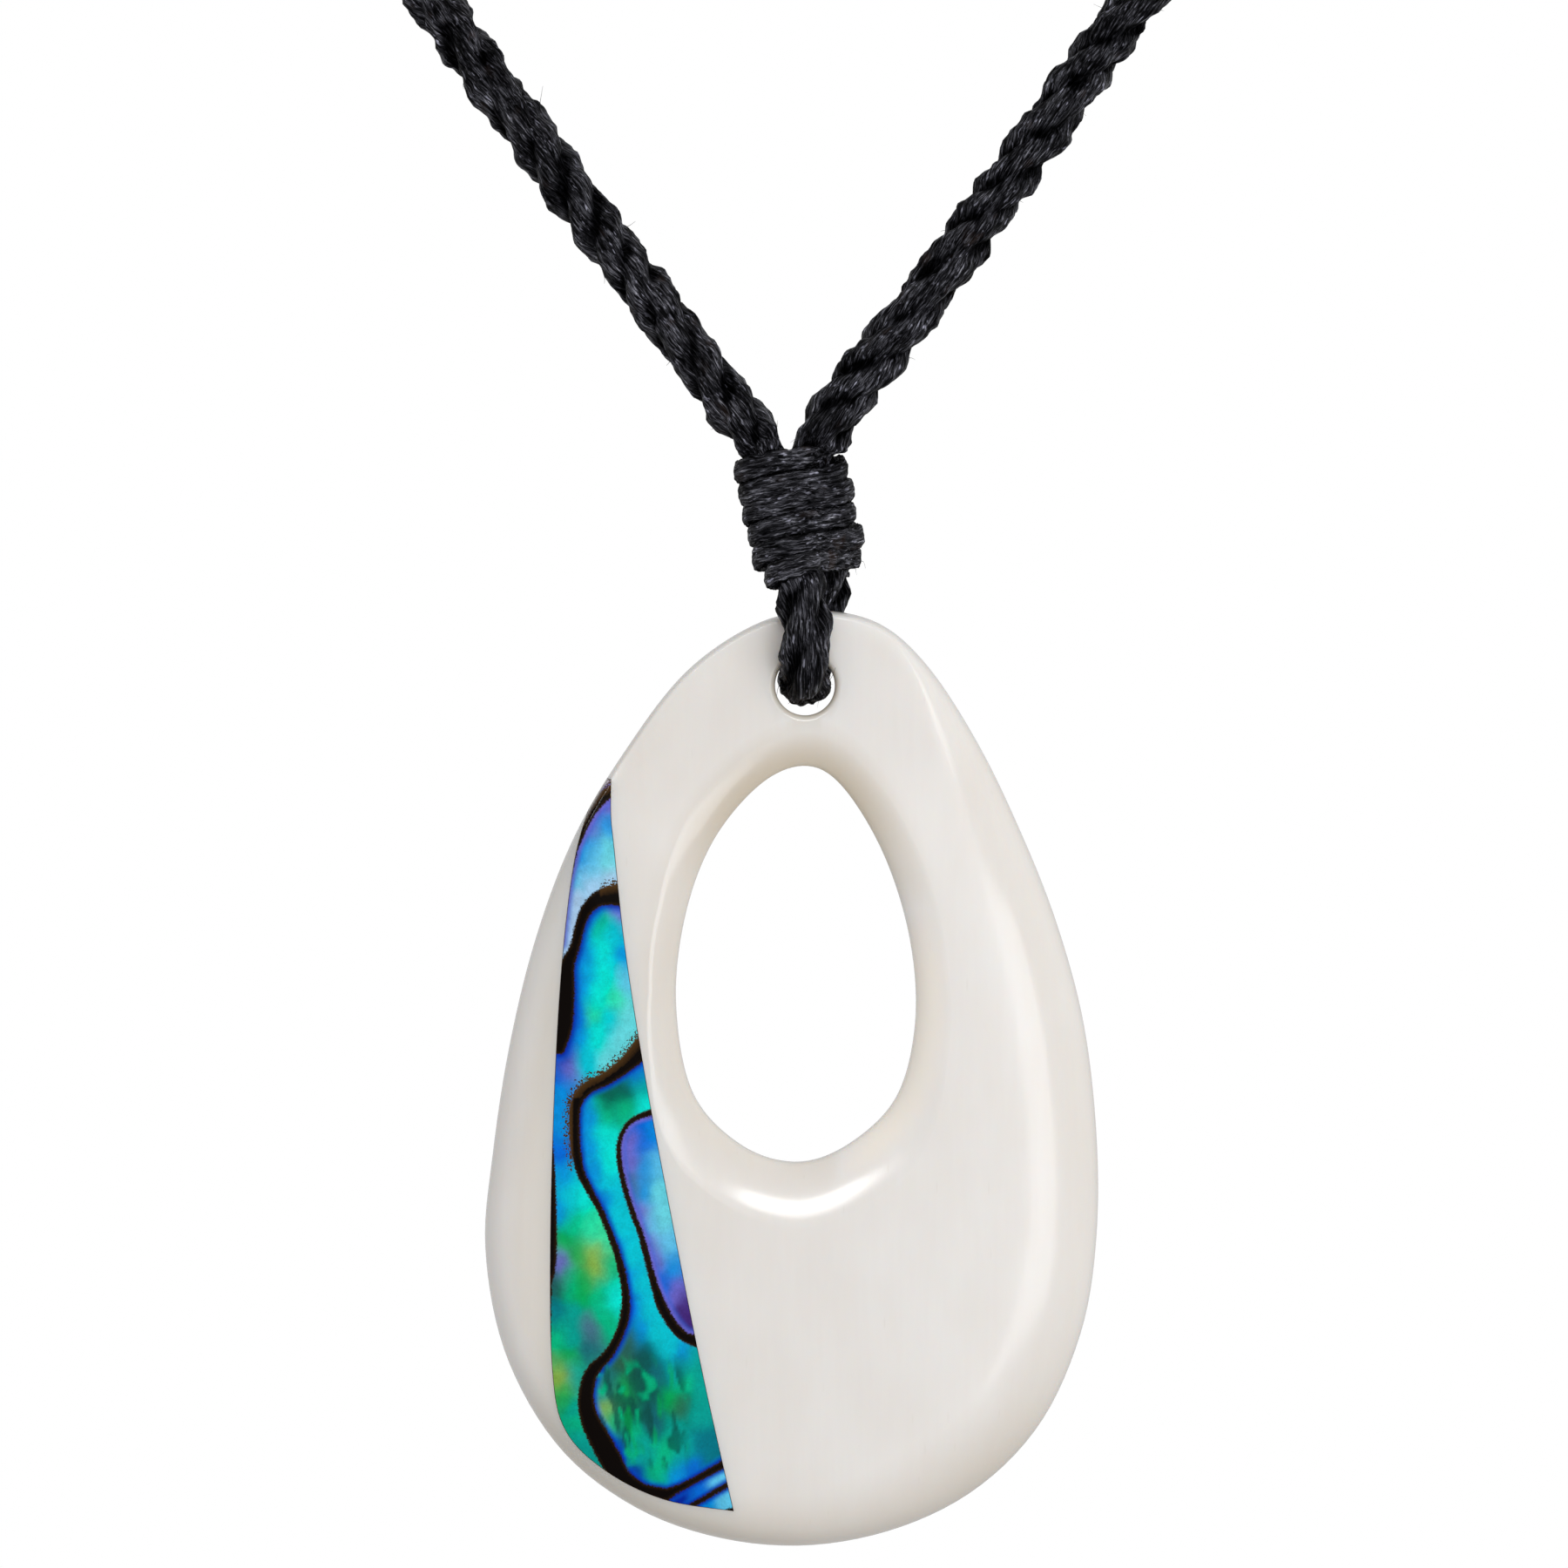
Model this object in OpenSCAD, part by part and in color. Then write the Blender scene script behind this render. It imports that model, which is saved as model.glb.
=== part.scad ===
// Bone drop pendant on a laid cotton neck cord, in the form that it takes when it is worn.
// All sizes are millimetres. The origin is where the cord rests on the nape of the neck,
// +Z points up and the front of the drop faces -Y.

/* [Bone drop] */
// Height of the bone drop
drop_h = 50; // [48:0.5:54]
// Width of the bone drop
drop_w = 32.7; // [31:0.1:36]
// Thickness of the bone over most of the drop
drop_t = 5; // [4.6:0.1:6]
// Thickness of the bone around the cord hole
crown_t = 3.5; // [3.2:0.1:3.6]
// Diameter of the hole that the cord passes through
cord_hole_d = 3.2; // [3.1:0.05:3.4]
// Width of the rounding along the outer edge
edge_round = 3; // [2.2:0.1:3.2]
// Width of the rounding along the edge of the crown, beside the cord hole
crown_round = 1.7; // [1.4:0.1:1.8]
// Width of the soft bevel that slopes into the eye
eye_bevel = 2.8; // [2:0.1:3]
// Width of that bevel at the top of the eye, under the cord hole
eye_bevel_top = 2; // [1.6:0.1:2.2]
// Thickness of the bone at the rim of the eye
eye_rim_t = 2; // [1.4:0.1:2.6]

/* [Shell inlay] */
// Depth of the shell below the front face of the drop
inlay_t = 1.6; // [1:0.1:2]
// Gap between the shell and its pocket
inlay_gap = 0.08; // [0.05:0.01:0.15]

/* [Neck cord] */
// Diameter of the free cord
cord_d = 2.8; // [2.6:0.1:3]
// Diameter of the cord where it bends through the drop
bight_d = 2.4; // [2.2:0.05:2.5]
// Diameter of the cord where the lashing squeezes it
squeezed_d = 2.2; // [2:0.05:2.3]

/* [Lashing] */
// Thickness of the bound thread
thread_t = 0.65; // [0.4:0.05:0.8]
// Height that one turn of the thread takes
turn_pitch = 1.3; // [1:0.05:1.4]
// Number of turns around the two legs of the cord
lashing_turns = 6; // [5:1:6]

/* [Nape whipping] */
// Diameter of the whipping over the joined ends of the cord
whipping_d = 6; // [5:0.5:8]
// Number of turns in the whipping
whipping_turns = 8; // [6:1:10]

/* [Hidden] */

// Centre of the cord hole. Everything on the drop is measured from here.
hole = [0, -114, -148];

// The outlines below were taken at this width and height.
drawn_w = 32.7;
drawn_h = 50;
stretch = [drop_w / drawn_w, drop_h / drawn_h];

// Outline of the drop: x, z from the cord hole, clockwise from the top.
DROP_OUTLINE = [
    [0.8, 4], [4, 3.3], [6.6, 1], [9.2, -3], [11.4, -7.5], [13.4, -12.5], [14.9, -18],
    [15.6, -24], [15.6, -29.5], [14.8, -34.5], [12.7, -39.3], [9.4, -42.8], [5.2, -45],
    [0.3, -46], [-4.6, -45.6], [-9.2, -43.9], [-13.2, -40.7], [-16, -35.8], [-17.1, -30.2],
    [-16.7, -25], [-15.8, -19.2], [-14.4, -13.5], [-12.4, -8.2], [-9.7, -3.6], [-6.4, 0.7],
    [-2.6, 3.3]
];
// Outline of the eye: x, z from the cord hole, clockwise from the top.
EYE_OUTLINE = [
    [0, -4.3], [2, -5.4], [4.2, -9], [5.6, -13.5], [5.9, -18], [4.9, -22], [2.4, -24.5],
    [-0.4, -25.5], [-3.4, -24.6], [-6, -21.8], [-6.9, -17], [-6.4, -12.3], [-4.9, -8.3],
    [-2.4, -5.3]
];
// Edges of the shell: x, z from the cord hole. One runs down the inner side and the other
// goes back along the foot and up the outer side.
INLAY_INNER_EDGE = [
    [-10.5, -5], [-10.3, -8], [-9.6, -14], [-8.5, -21], [-7, -29], [-5.4, -37], [-3.8, -44.1]
];
INLAY_OUTER_EDGE = [
    [-3.8, -44.1], [-7.5, -43.5], [-10.6, -42], [-12.8, -39.8], [-13.5, -36.5], [-13.6, -30],
    [-13.4, -22], [-13, -15], [-12.3, -9.5], [-11.3, -6], [-10.8, -5]
];

// Route of the neck cord from the nape down the left side, in the part's own frame.
LEFT_SIDE = [
    [-0.1, 3, 0], [-6.5, 3, 0], [-13, 2.4, -0.3], [-24, -0.8, -1.4], [-35.5, -6, -4],
    [-46, -14, -8.6], [-55, -26, -16], [-60.5, -42, -27], [-61, -58, -40], [-56.5, -73, -56], [-48.8, -86, -72],
    [-38.5, -96, -86], [-28.3, -103.5, -100], [-18.7, -109, -113], [-9.9, -112.5, -125]
];
// The same for the right side, which leaves the lashing a little nearer the middle.
RIGHT_SIDE = [
    [0.1, 3, 0], [6.5, 3, 0], [13, 2.4, -0.3], [24, -0.8, -1.4], [35.5, -6, -4],
    [46, -14, -8.6], [54.5, -26, -16], [60, -42, -27], [60, -58, -40], [55, -73, -56], [46, -86, -72],
    [36, -96, -86], [26, -103.5, -100], [16.5, -109, -113], [8, -112.5, -125]
];
// Distance from the drop's middle to each leg beside its crown, with a small gap to the bone.
leg_y = crown_t / 2 + bight_d / 2 + 0.2;
// The leg that comes down to the front of the drop: x, y, z from the cord hole, diameter.
FRONT_LEG = [
    [-4.2, -0.4, 15.2, cord_d], [-2.6, -0.45, 13, squeezed_d], [-2.1, -0.55, 12, squeezed_d],
    [-1.3, -0.9, 8.6, squeezed_d], [-0.75, -1.4, 6.8, squeezed_d], [-0.3, -2.1, 5.4, bight_d],
    [-0.1, -2.8, 4.2, bight_d], [0, -leg_y, 2.9, bight_d]
];
// The leg that rises behind the drop, listed from its top in the same way.
BACK_LEG = [
    [2.4, 0.1, 15.2, cord_d], [1, 0.2, 13, squeezed_d], [0.6, 0.3, 12, squeezed_d],
    [1, 0.8, 8.6, squeezed_d], [1.35, 1.35, 6.8, squeezed_d], [1.2, 2.1, 5.4, bight_d],
    [0.8, 2.8, 4.2, bight_d], [0.5, leg_y, 2.9, bight_d]
];
// Height of the cord's centre inside the hole, and the radius of its bends at both faces.
bight_rise = 0.2;
bight_bend_r = 1.65;
// The back leg drifts to the right by this much for each millimetre that it rises.
back_drift = 0.12;

// Where the thickness and the roundings pass from the crown to the rest of the drop.
crown_low = -3;
body_high = -13;
// Where the bevel of the eye passes from its width at the top to its full width.
bevel_narrow = -5;
bevel_full = -10;

// Number of cross-sections around the drop, and the steps of their roundings in degrees.
section_count = 90;
round_steps = [0, 22.5, 45, 67.5, 90];
curve_steps = 6;
// Centre that the cross-sections radiate from, inside the eye.
eye_centre = [-0.4, -15];
// Bevel at both mouths of the cord hole.
hole_bevel = 0.3;

// Sides of the cord and of the lashing, and steps of the cord along each stretch of route.
cord_sides = 8;
cord_steps = 2;
lashing_sides = 24;
rings_per_turn = 4;

// The lashing leans to the left, so its turns rise to the right by this slope.
lashing_slope = 0.14;
lashing_low = 5.2;
turn_ridge = 0.3;
cord_clearance = 0.1;
whipping_end_round = 0.5;
whipping_bore_d = cord_d + 2 * cord_clearance;

// Curves.

function smooth(low, high, v) =
    let (t = max(0, min(1, (v - low) / (high - low))))
    t * t * (3 - 2 * t);

function curve_point(a, b, c, d, t) =
    0.5 * (2 * b + (c - a) * t + (2 * a - 5 * b + 4 * c - d) * t * t
        + (3 * b - a - 3 * c + d) * t * t * t);

function closed_curve(points, steps) =
    let (n = len(points))
    [for (i = [0 : n - 1], s = [0 : steps - 1])
        curve_point(points[(i + n - 1) % n], points[i], points[(i + 1) % n],
            points[(i + 2) % n], s / steps)];

function open_curve(points, steps) =
    let (n = len(points))
    [for (i = [0 : n - 2], s = [0 : steps - 1])
        curve_point(points[max(0, i - 1)], points[i], points[i + 1],
            points[min(n - 1, i + 2)], s / steps)];

function reversed(list) = [for (i = [len(list) - 1 : -1 : 0]) list[i]];

function unit(v) = v / norm(v);

function stretched(points) = [for (p = points) [p[0] * stretch[0], p[1] * stretch[1]]];

// Distance from a centre to a closed outline, in the direction of the unit vector d.
function reach(outline, centre, d) =
    let (n = len(outline))
    max([for (i = [0 : n - 1])
        let (p = outline[i] - centre, side = outline[(i + 1) % n] - outline[i],
            turn = cross(d, side), along = cross(p, side) / turn, s = cross(p, d) / turn)
        if (turn != 0 && along > 0 && s >= 0 && s <= 1) along]);

// Two triangles between points k and m of one ring and the same points of the next.
function patch(ring, next, k, m) = [[ring + k, next + k, next + m], [ring + k, next + m, ring + m]];

// A closed tube through rings of equal length, with flat ends.
module tube_skin(rings) {
    sides = len(rings[0]);
    last = len(rings) - 1;
    walls = [for (i = [0 : last - 1], k = [0 : sides - 1])
        each patch(i * sides, (i + 1) * sides, k, (k + 1) % sides)];
    ends = [[for (k = [0 : sides - 1]) k],
        [for (k = [sides - 1 : -1 : 0]) last * sides + k]];
    polyhedron([for (ring = rings) each ring], concat(ends, walls), convexity = 10);
}

// A closed ring-shaped skin: the last section joins the first.
module ring_skin(sections) {
    count = len(sections);
    sides = len(sections[0]);
    faces = [for (i = [0 : count - 1], k = [0 : sides - 1])
        each patch(i * sides, (i + 1) % count * sides, k, (k + 1) % sides)];
    polyhedron([for (section = sections) each section], faces, convexity = 10);
}

// Bone drop.

outer_curve = closed_curve(stretched(DROP_OUTLINE), curve_steps);
eye_curve = closed_curve(stretched(EYE_OUTLINE), curve_steps);

// Half the thickness of the bone at a height z above the cord hole.
function half_t(z) = (crown_t + (drop_t - crown_t) * (1 - smooth(body_high, crown_low, z))) / 2;

// A point of the bone: distance r from the eye's centre, and a share of the half thickness.
function bone_point(d, r, share) =
    let (x = eye_centre[0] + d[0] * r, z = eye_centre[1] + d[1] * r)
    [x, half_t(z) * share, z];

// One cross-section, from the outer edge over the front face into the eye, and back behind.
function bone_section(angle) =
    let (d = [sin(angle), cos(angle)],
        outer = reach(outer_curve, eye_centre, d),
        inner = reach(eye_curve, eye_centre, d),
        outer_z = eye_centre[1] + d[1] * outer,
        inner_z = eye_centre[1] + d[1] * inner,
        edge = edge_round + (crown_round - edge_round) * smooth(body_high, crown_low, outer_z),
        bevel = eye_bevel
            + (eye_bevel_top - eye_bevel) * smooth(bevel_full, bevel_narrow, inner_z),
        rim = eye_rim_t / 2 / half_t(inner_z),
        front = concat(
            [for (a = round_steps) bone_point(d, outer - edge * (1 - cos(a)), -sin(a))],
            [for (a = reversed(round_steps))
                bone_point(d, inner + bevel * (1 - cos(a)), -rim - (1 - rim) * sin(a))]),
        back = [for (p = reversed(front)) if (p[1] != 0) [p[0], -p[1], p[2]]])
    concat(front, back);

module bone_blank() {
    ring_skin([for (i = [0 : section_count - 1]) bone_section(360 * i / section_count)]);
}

inlay_edge = stretched(concat(
    open_curve(INLAY_INNER_EDGE, curve_steps),
    open_curve(INLAY_OUTER_EDGE, curve_steps),
    [INLAY_OUTER_EDGE[len(INLAY_OUTER_EDGE) - 1]]));

// The same outline, moved inwards by a gap.
function inset(points, gap) =
    let (n = len(points))
    [for (i = [0 : n - 1])
        let (along = unit(points[(i + 1) % n] - points[(i + n - 1) % n]))
        points[i] + gap * [along[1], -along[0]]];

// A block with the shell's outline, from in front of the drop down to a depth y.
module inlay_block(points, floor_y) {
    front_y = -drop_t;
    translate([0, floor_y, 0])
        rotate([90, 0, 0])
            linear_extrude(floor_y - front_y)
                polygon(points);
}

inlay_floor = inlay_t - drop_t / 2;

// The cord hole and the bevel at one of its mouths, along +Z from the middle of the bone.
module half_cord_hole() {
    cylinder(d = cord_hole_d, h = drop_t, $fn = 48);
    translate([0, 0, crown_t / 2 - hole_bevel])
        cylinder(d1 = cord_hole_d, d2 = cord_hole_d + 4 * hole_bevel, h = 2 * hole_bevel, $fn = 48);
}

module bone_pendant() {
    color([0.89, 0.87, 0.85])
        translate(hole)
            difference() {
                bone_blank();
                for (side = [90, -90])
                    rotate([side, 0, 0])
                        half_cord_hole();
                inlay_block(inlay_edge, inlay_floor);
            }
}

module shell_inlay() {
    color([0.1, 0.65, 0.75])
        translate(hole)
            intersection() {
                bone_blank();
                inlay_block(inset(inlay_edge, inlay_gap), inlay_floor - inlay_gap);
            }
}

// Neck cord.

function with_d(points, d) = [for (p = points) [p[0], p[1], p[2], d]];
function from_hole(points) =
    [for (p = points) [p[0] + hole[0], p[1] + hole[1], p[2] + hole[2], p[3]]];

// The bend from the front face into the hole, as points of an arc.
bend_in = [for (a = [0, 45, 90])
    [0, bight_bend_r * (1 - cos(a)) - leg_y, bight_rise + bight_bend_r * (1 - sin(a)), bight_d]];
bend_out = [for (p = reversed(bend_in)) [back_drift * p[2], -p[1], p[2], bight_d]];

cord_route = concat(
    open_curve(concat(with_d(LEFT_SIDE, cord_d), from_hole([FRONT_LEG[0]])), cord_steps),
    from_hole(concat(FRONT_LEG, bend_in, [[0, 0, bight_rise, bight_d]], bend_out,
        reversed(BACK_LEG))),
    reversed(open_curve(concat(with_d(RIGHT_SIDE, cord_d), from_hole([BACK_LEG[0]])), cord_steps))
);

function place(p) = [p[0], p[1], p[2]];

// Direction of a route at each point, and a side vector carried along it without twist.
function headings(route) =
    let (n = len(route))
    [for (i = [0 : n - 1])
        unit(place(route[min(n - 1, i + 1)]) - place(route[max(0, i - 1)]))];

function level(side, heading) = unit(side - (side * heading) * heading);

function carried(first, heads) =
    [for (i = 0, side = level(first, heads[0]); i < len(heads);
        i = i + 1, side = i < len(heads) ? level(side, heads[i]) : side) side];

function cord_rings(route, sides) =
    let (heads = headings(route), across = carried([0, 0, 1], heads))
    [for (i = [0 : len(route) - 1])
        let (u = across[i], v = cross(heads[i], u))
        [for (k = [0 : sides - 1])
            let (a = 360 * k / sides)
            place(route[i]) + route[i][3] / 2 * (cos(a) * u + sin(a) * v)]];

module neck_cord() {
    color([0.13, 0.13, 0.15])
        tube_skin(cord_rings(cord_route, cord_sides));
}

// Lashing.

// Centre of a leg at a height.
function leg_at(leg, z) =
    [lookup(z, [for (p = leg) [p[2], p[0]]]), lookup(z, [for (p = leg) [p[2], p[1]]])];

// Half the width of a level cut through a leg at a height, which grows as the leg leans.
function leg_reach(leg, z) =
    let (step = 0.4, rise = leg_at(leg, z + step) - leg_at(leg, z - step))
    lookup(z, [for (p = leg) [p[2], p[3]]]) / 2 * norm([rise[0], rise[1], 2 * step]) / (2 * step);

// A point outside a leg at a height, in the level direction d, by the clearance and an offset.
function bound_point(leg, z, d, offset) =
    leg_at(leg, z) + (leg_reach(leg, z) + cord_clearance + offset) * d;

// The oval around both legs, in a plane that slopes through the middle between them at z.
// The list of offsets says how far outside the legs each of its points lies.
function bound_ring(z, offsets) =
    let (n = len(offsets), front = leg_at(FRONT_LEG, z), back = leg_at(BACK_LEG, z),
        middle_x = (front[0] + back[0]) / 2)
    [for (k = [0 : n - 1])
        let (d = [cos(360 * k / n), sin(360 * k / n)],
            leg = (front - back) * d > 0 ? FRONT_LEG : BACK_LEG,
            level = z + lashing_slope * (bound_point(leg, z, d, offsets[k])[0] - middle_x),
            p = bound_point(leg, level, d, offsets[k]))
        [p[0], p[1], level]];

// Height of the thread's surface above the cord: the turns are ridges on a right-hand helix.
function thread_offsets(turn) =
    [for (k = [0 : lashing_sides - 1])
        thread_t - turn_ridge * (1 - abs(cos(180 * (turn - k / lashing_sides))))];

lashing_outer = [for (i = [0 : lashing_turns * rings_per_turn])
    bound_ring(lashing_low + i / rings_per_turn * turn_pitch, thread_offsets(i / rings_per_turn))];
no_offsets = [for (k = [1 : lashing_sides]) 0];
lashing_inner = [for (i = [2 * lashing_turns : -1 : 0])
    bound_ring(lashing_low + i / 2 * turn_pitch, no_offsets)];

module lashing() {
    color([0.1, 0.1, 0.12])
        translate(hole)
            ring_skin(concat(lashing_outer, lashing_inner));
}

// Nape whipping.

whipping_len = whipping_turns * turn_pitch;

// Profile of the whipping: one ridge for each turn, and rounded ends.
function whipping_profile() =
    [for (i = [0 : whipping_turns * rings_per_turn])
        let (turn = i / rings_per_turn,
            end = min(turn, whipping_turns - turn),
            groove = turn_ridge * (1 - abs(sin(180 * turn))),
            rounding = whipping_end_round * (1 - smooth(0, 1, end)))
        [whipping_d / 2 - groove - rounding, turn * turn_pitch]];

module nape_whipping() {
    color([0.1, 0.1, 0.12])
        translate([-whipping_len / 2, LEFT_SIDE[0][1], LEFT_SIDE[0][2]])
            rotate([0, 90, 0])
                difference() {
                    rotate_extrude($fn = 48)
                        polygon(concat([[0, 0]], whipping_profile(), [[0, whipping_len]]));
                    translate([0, 0, -1])
                        cylinder(d = whipping_bore_d, h = whipping_len + 2, $fn = 48);
                }
}

bone_pendant();
shell_inlay();
neck_cord();
lashing();
nape_whipping();
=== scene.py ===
# Bone drop pendant with an inlay of iridescent shell on a laid cotton cord: its looks.
# The tables are in millimetres and the meshes in metres. The origin is at the nape of the neck,
# +Z points up and the front of the drop faces -Y.
import math

import bpy
import numpy as np
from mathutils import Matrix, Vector, noise


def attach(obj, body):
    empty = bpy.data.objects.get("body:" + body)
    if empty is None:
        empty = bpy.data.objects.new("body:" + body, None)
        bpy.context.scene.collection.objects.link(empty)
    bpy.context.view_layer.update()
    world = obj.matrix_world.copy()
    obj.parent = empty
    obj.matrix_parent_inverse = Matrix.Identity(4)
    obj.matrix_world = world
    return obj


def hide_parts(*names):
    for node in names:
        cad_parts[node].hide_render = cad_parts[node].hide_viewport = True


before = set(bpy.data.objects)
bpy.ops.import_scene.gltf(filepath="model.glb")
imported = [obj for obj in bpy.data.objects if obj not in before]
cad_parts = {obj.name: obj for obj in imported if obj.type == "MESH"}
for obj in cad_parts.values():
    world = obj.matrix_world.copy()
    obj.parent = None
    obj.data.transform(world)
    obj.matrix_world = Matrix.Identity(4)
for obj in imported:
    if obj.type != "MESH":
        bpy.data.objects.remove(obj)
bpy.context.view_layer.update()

MM = 0.001
# Centre of the drop's cord hole.
HOLE = np.array([0, -114, -148])

# The photograph's 1800 pixels take in this width at the drop, seen from this far in front of it.
VIEW_WIDTH = 83.9
VIEW_DISTANCE = 1000
VIEW_CENTRE = [-1.12, -114, -153.27]


def in_metres(point):
    return Vector(point) * MM


def add_object(name, data):
    thing = bpy.data.objects.new(name, data)
    bpy.context.scene.collection.objects.link(thing)
    return thing


def add_camera():
    lens = bpy.data.cameras.new("studio_camera")
    lens.sensor_width = 36
    lens.lens = lens.sensor_width * VIEW_DISTANCE / VIEW_WIDTH
    lens.clip_start = 0.05
    lens.clip_end = 50
    camera = add_object("studio_camera", lens)
    camera.location = in_metres(VIEW_CENTRE) - Vector((0, VIEW_DISTANCE * MM, 0))
    camera.rotation_euler = (math.radians(90), 0, 0)
    bpy.context.scene.camera = camera


add_camera()

# Route of the cord, from the nape down each side to the lashing.
LEFT_SIDE = [
    [-0.1, 3, 0], [-6.5, 3, 0], [-13, 2.4, -0.3], [-24, -0.8, -1.4], [-35.5, -6, -4],
    [-46, -14, -8.6], [-55, -26, -16], [-60.5, -42, -27], [-61, -58, -40], [-56.5, -73, -56],
    [-48.8, -86, -72], [-38.5, -96, -86], [-28.3, -103.5, -100], [-18.7, -109, -113],
    [-9.9, -112.5, -125],
]
RIGHT_SIDE = [
    [0.1, 3, 0], [6.5, 3, 0], [13, 2.4, -0.3], [24, -0.8, -1.4], [35.5, -6, -4],
    [46, -14, -8.6], [54.5, -26, -16], [60, -42, -27], [60, -58, -40], [55, -73, -56],
    [46, -86, -72], [36, -96, -86], [26, -103.5, -100], [16.5, -109, -113], [8, -112.5, -125],
]
# Diameters of the cord: free, in the lashing, and from there through the cord hole.
CORD_D = 2.8
SQUEEZED_D = 2.2
BIGHT_D = 2.4
# The legs turn into the hole this far in front of and behind its middle.
LEG_Y = 3.25
# The two legs from the top of the lashing to the mouths of the cord hole: x, y, z from the
# hole's centre, diameter.
FRONT_LEG = [
    [-4.1, -0.4, 15.2, CORD_D], [-2.5, -0.45, 13, 2.7], [-2.05, -0.55, 12, SQUEEZED_D],
    [-1.3, -0.9, 8.6, SQUEEZED_D], [-0.75, -1.6, 6.8, SQUEEZED_D], [-0.3, -2.45, 5.4, BIGHT_D],
    [-0.1, -3.05, 4.2, BIGHT_D], [0, -LEG_Y, 2.9, BIGHT_D],
]
BACK_LEG = [
    [2.1, 0.1, 15.2, 3], [0.75, 0.2, 13, 2.85], [0.6, 0.3, 12, SQUEEZED_D],
    [1, 0.8, 8.6, SQUEEZED_D], [1.35, 1.7, 6.8, SQUEEZED_D], [1.2, 2.75, 5.4, BIGHT_D],
    [0.8, 3.3, 4.2, BIGHT_D], [0.5, LEG_Y, 2.9, BIGHT_D],
]
# How far the cord lies over the hole's middle, and the radius of its bends at the two mouths.
BIGHT_RISE = 0.1
BIGHT_BEND_R = 1.65
# On its way out of the hole at the back, the cord leans to the right by this share of its rise.
BIGHT_LEAN = 0.12
ROUTE_STEP = 0.1


def smooth(low, high, v):
    """0 below low, 1 above high, and an even passage between them."""
    t = np.clip((v - low) / (high - low), 0, 1)
    return t * t * (3 - 2 * t)


def curve_through(points, steps, closed=False):
    """A smooth curve through the points, with this many steps from each to the next."""
    p = np.array(points, float)
    n = len(p)
    curve = []
    for i in range(n if closed else n - 1):
        near = [i - 1, i, i + 1, i + 2]
        a, b, c, d = (p[k % n] if closed else p[min(max(k, 0), n - 1)] for k in near)
        for t in np.arange(steps) / steps:
            curve.append(0.5 * (2 * b + (c - a) * t + (2 * a - 5 * b + 4 * c - d) * t**2
                                + (3 * b - a - 3 * c + d) * t**3))
    if not closed:
        curve.append(p[-1])
    return np.array(curve)


def lengths_along(points):
    steps = np.linalg.norm(np.diff(points[:, :3], axis=0), axis=1)
    return np.concatenate([[0], np.cumsum(steps)])


def at_lengths(points, wanted):
    """The curve's values at these lengths along it."""
    s = lengths_along(points)
    return np.stack([np.interp(wanted, s, column) for column in points.T], axis=1)


def softened(points, reach):
    """The evenly spaced curve with its small kinks taken out over this many points."""
    weights = np.hanning(2 * reach + 3)[1:-1]
    weights /= weights.sum()
    padded = np.concatenate([2 * points[0] - points[reach:0:-1], points,
                             2 * points[-1] - points[-2:-reach - 2:-1]])
    return np.stack([np.convolve(column, weights, "valid") for column in padded.T], axis=1)


def from_hole(points):
    p = np.array(points, float)
    p[:, :3] += HOLE
    return p


def cord_route():
    """The middle of the cord from one end at the nape round to the other, with its diameter."""
    turn = np.radians(np.arange(0, 91, 15))
    y = BIGHT_BEND_R * (1 - np.cos(turn)) - LEG_Y
    z = BIGHT_RISE + BIGHT_BEND_R * (1 - np.sin(turn))
    bend_in = np.stack([0 * y, y, z, 0 * y + BIGHT_D], axis=1)
    bend_out = np.stack([BIGHT_LEAN * z, -y, z, 0 * y + BIGHT_D], axis=1)[::-1]
    in_hole = [[0, 0, BIGHT_RISE, BIGHT_D]]
    loop = from_hole(np.concatenate([FRONT_LEG, bend_in, in_hole, bend_out, BACK_LEG[::-1]]))
    sides = [np.column_stack([side, [CORD_D] * len(side)]) for side in (LEFT_SIDE, RIGHT_SIDE)]
    route = curve_through(np.concatenate([sides[0], loop, sides[1][::-1]]), steps=12)
    even = at_lengths(route, np.arange(0, lengths_along(route)[-1], ROUTE_STEP))
    return softened(even, reach=6)


def unit(v):
    return v / np.linalg.norm(v, axis=-1, keepdims=True)


def headings(points):
    ahead = np.concatenate([points[1:], points[-1:]])
    behind = np.concatenate([points[:1], points[:-1]])
    return unit((ahead - behind)[:, :3])


def carried_along(heads, first):
    """A direction across the curve, carried along it without twist."""
    across = []
    side = np.array(first, float)
    for head in heads:
        side = unit(side - side.dot(head) * head)
        across.append(side)
    return np.array(across)


def waver(s, size, seed):
    """A slow random swing between -1 and 1 along a length, repeating its course at each run."""
    return np.array([noise.noise(Vector((v / size, seed, 0.5))) * 2 for v in s])


def lobes(angle, count, depth):
    """Outline of strands laid side by side round a cord: 1 on each strand, less between them."""
    share = 2 * np.pi / count
    off = (angle + share / 2) % share - share / 2
    middle = depth
    strand = 1 - depth
    return middle * np.cos(off) + np.sqrt(strand**2 - (middle * np.sin(off))**2)


def only(piece):
    """Leaves this piece alone selected and active."""
    bpy.ops.object.select_all(action="DESELECT")
    piece.select_set(True)
    bpy.context.view_layer.objects.active = piece


def join_to(piece, other):
    """Makes the other piece part of this one."""
    only(piece)
    other.select_set(True)
    bpy.ops.object.join()


def read_vectors(items, key):
    """A vector of every item, such as the place of each point, as rows of three numbers."""
    flat = np.empty(len(items) * 3)
    items.foreach_get(key, flat)
    return flat.reshape(-1, 3)


def points_of(piece):
    return read_vectors(piece.data.vertices, "co")


def set_points(piece, co):
    piece.data.vertices.foreach_set("co", np.ascontiguousarray(co, np.float32).ravel())
    piece.data.update()


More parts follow.
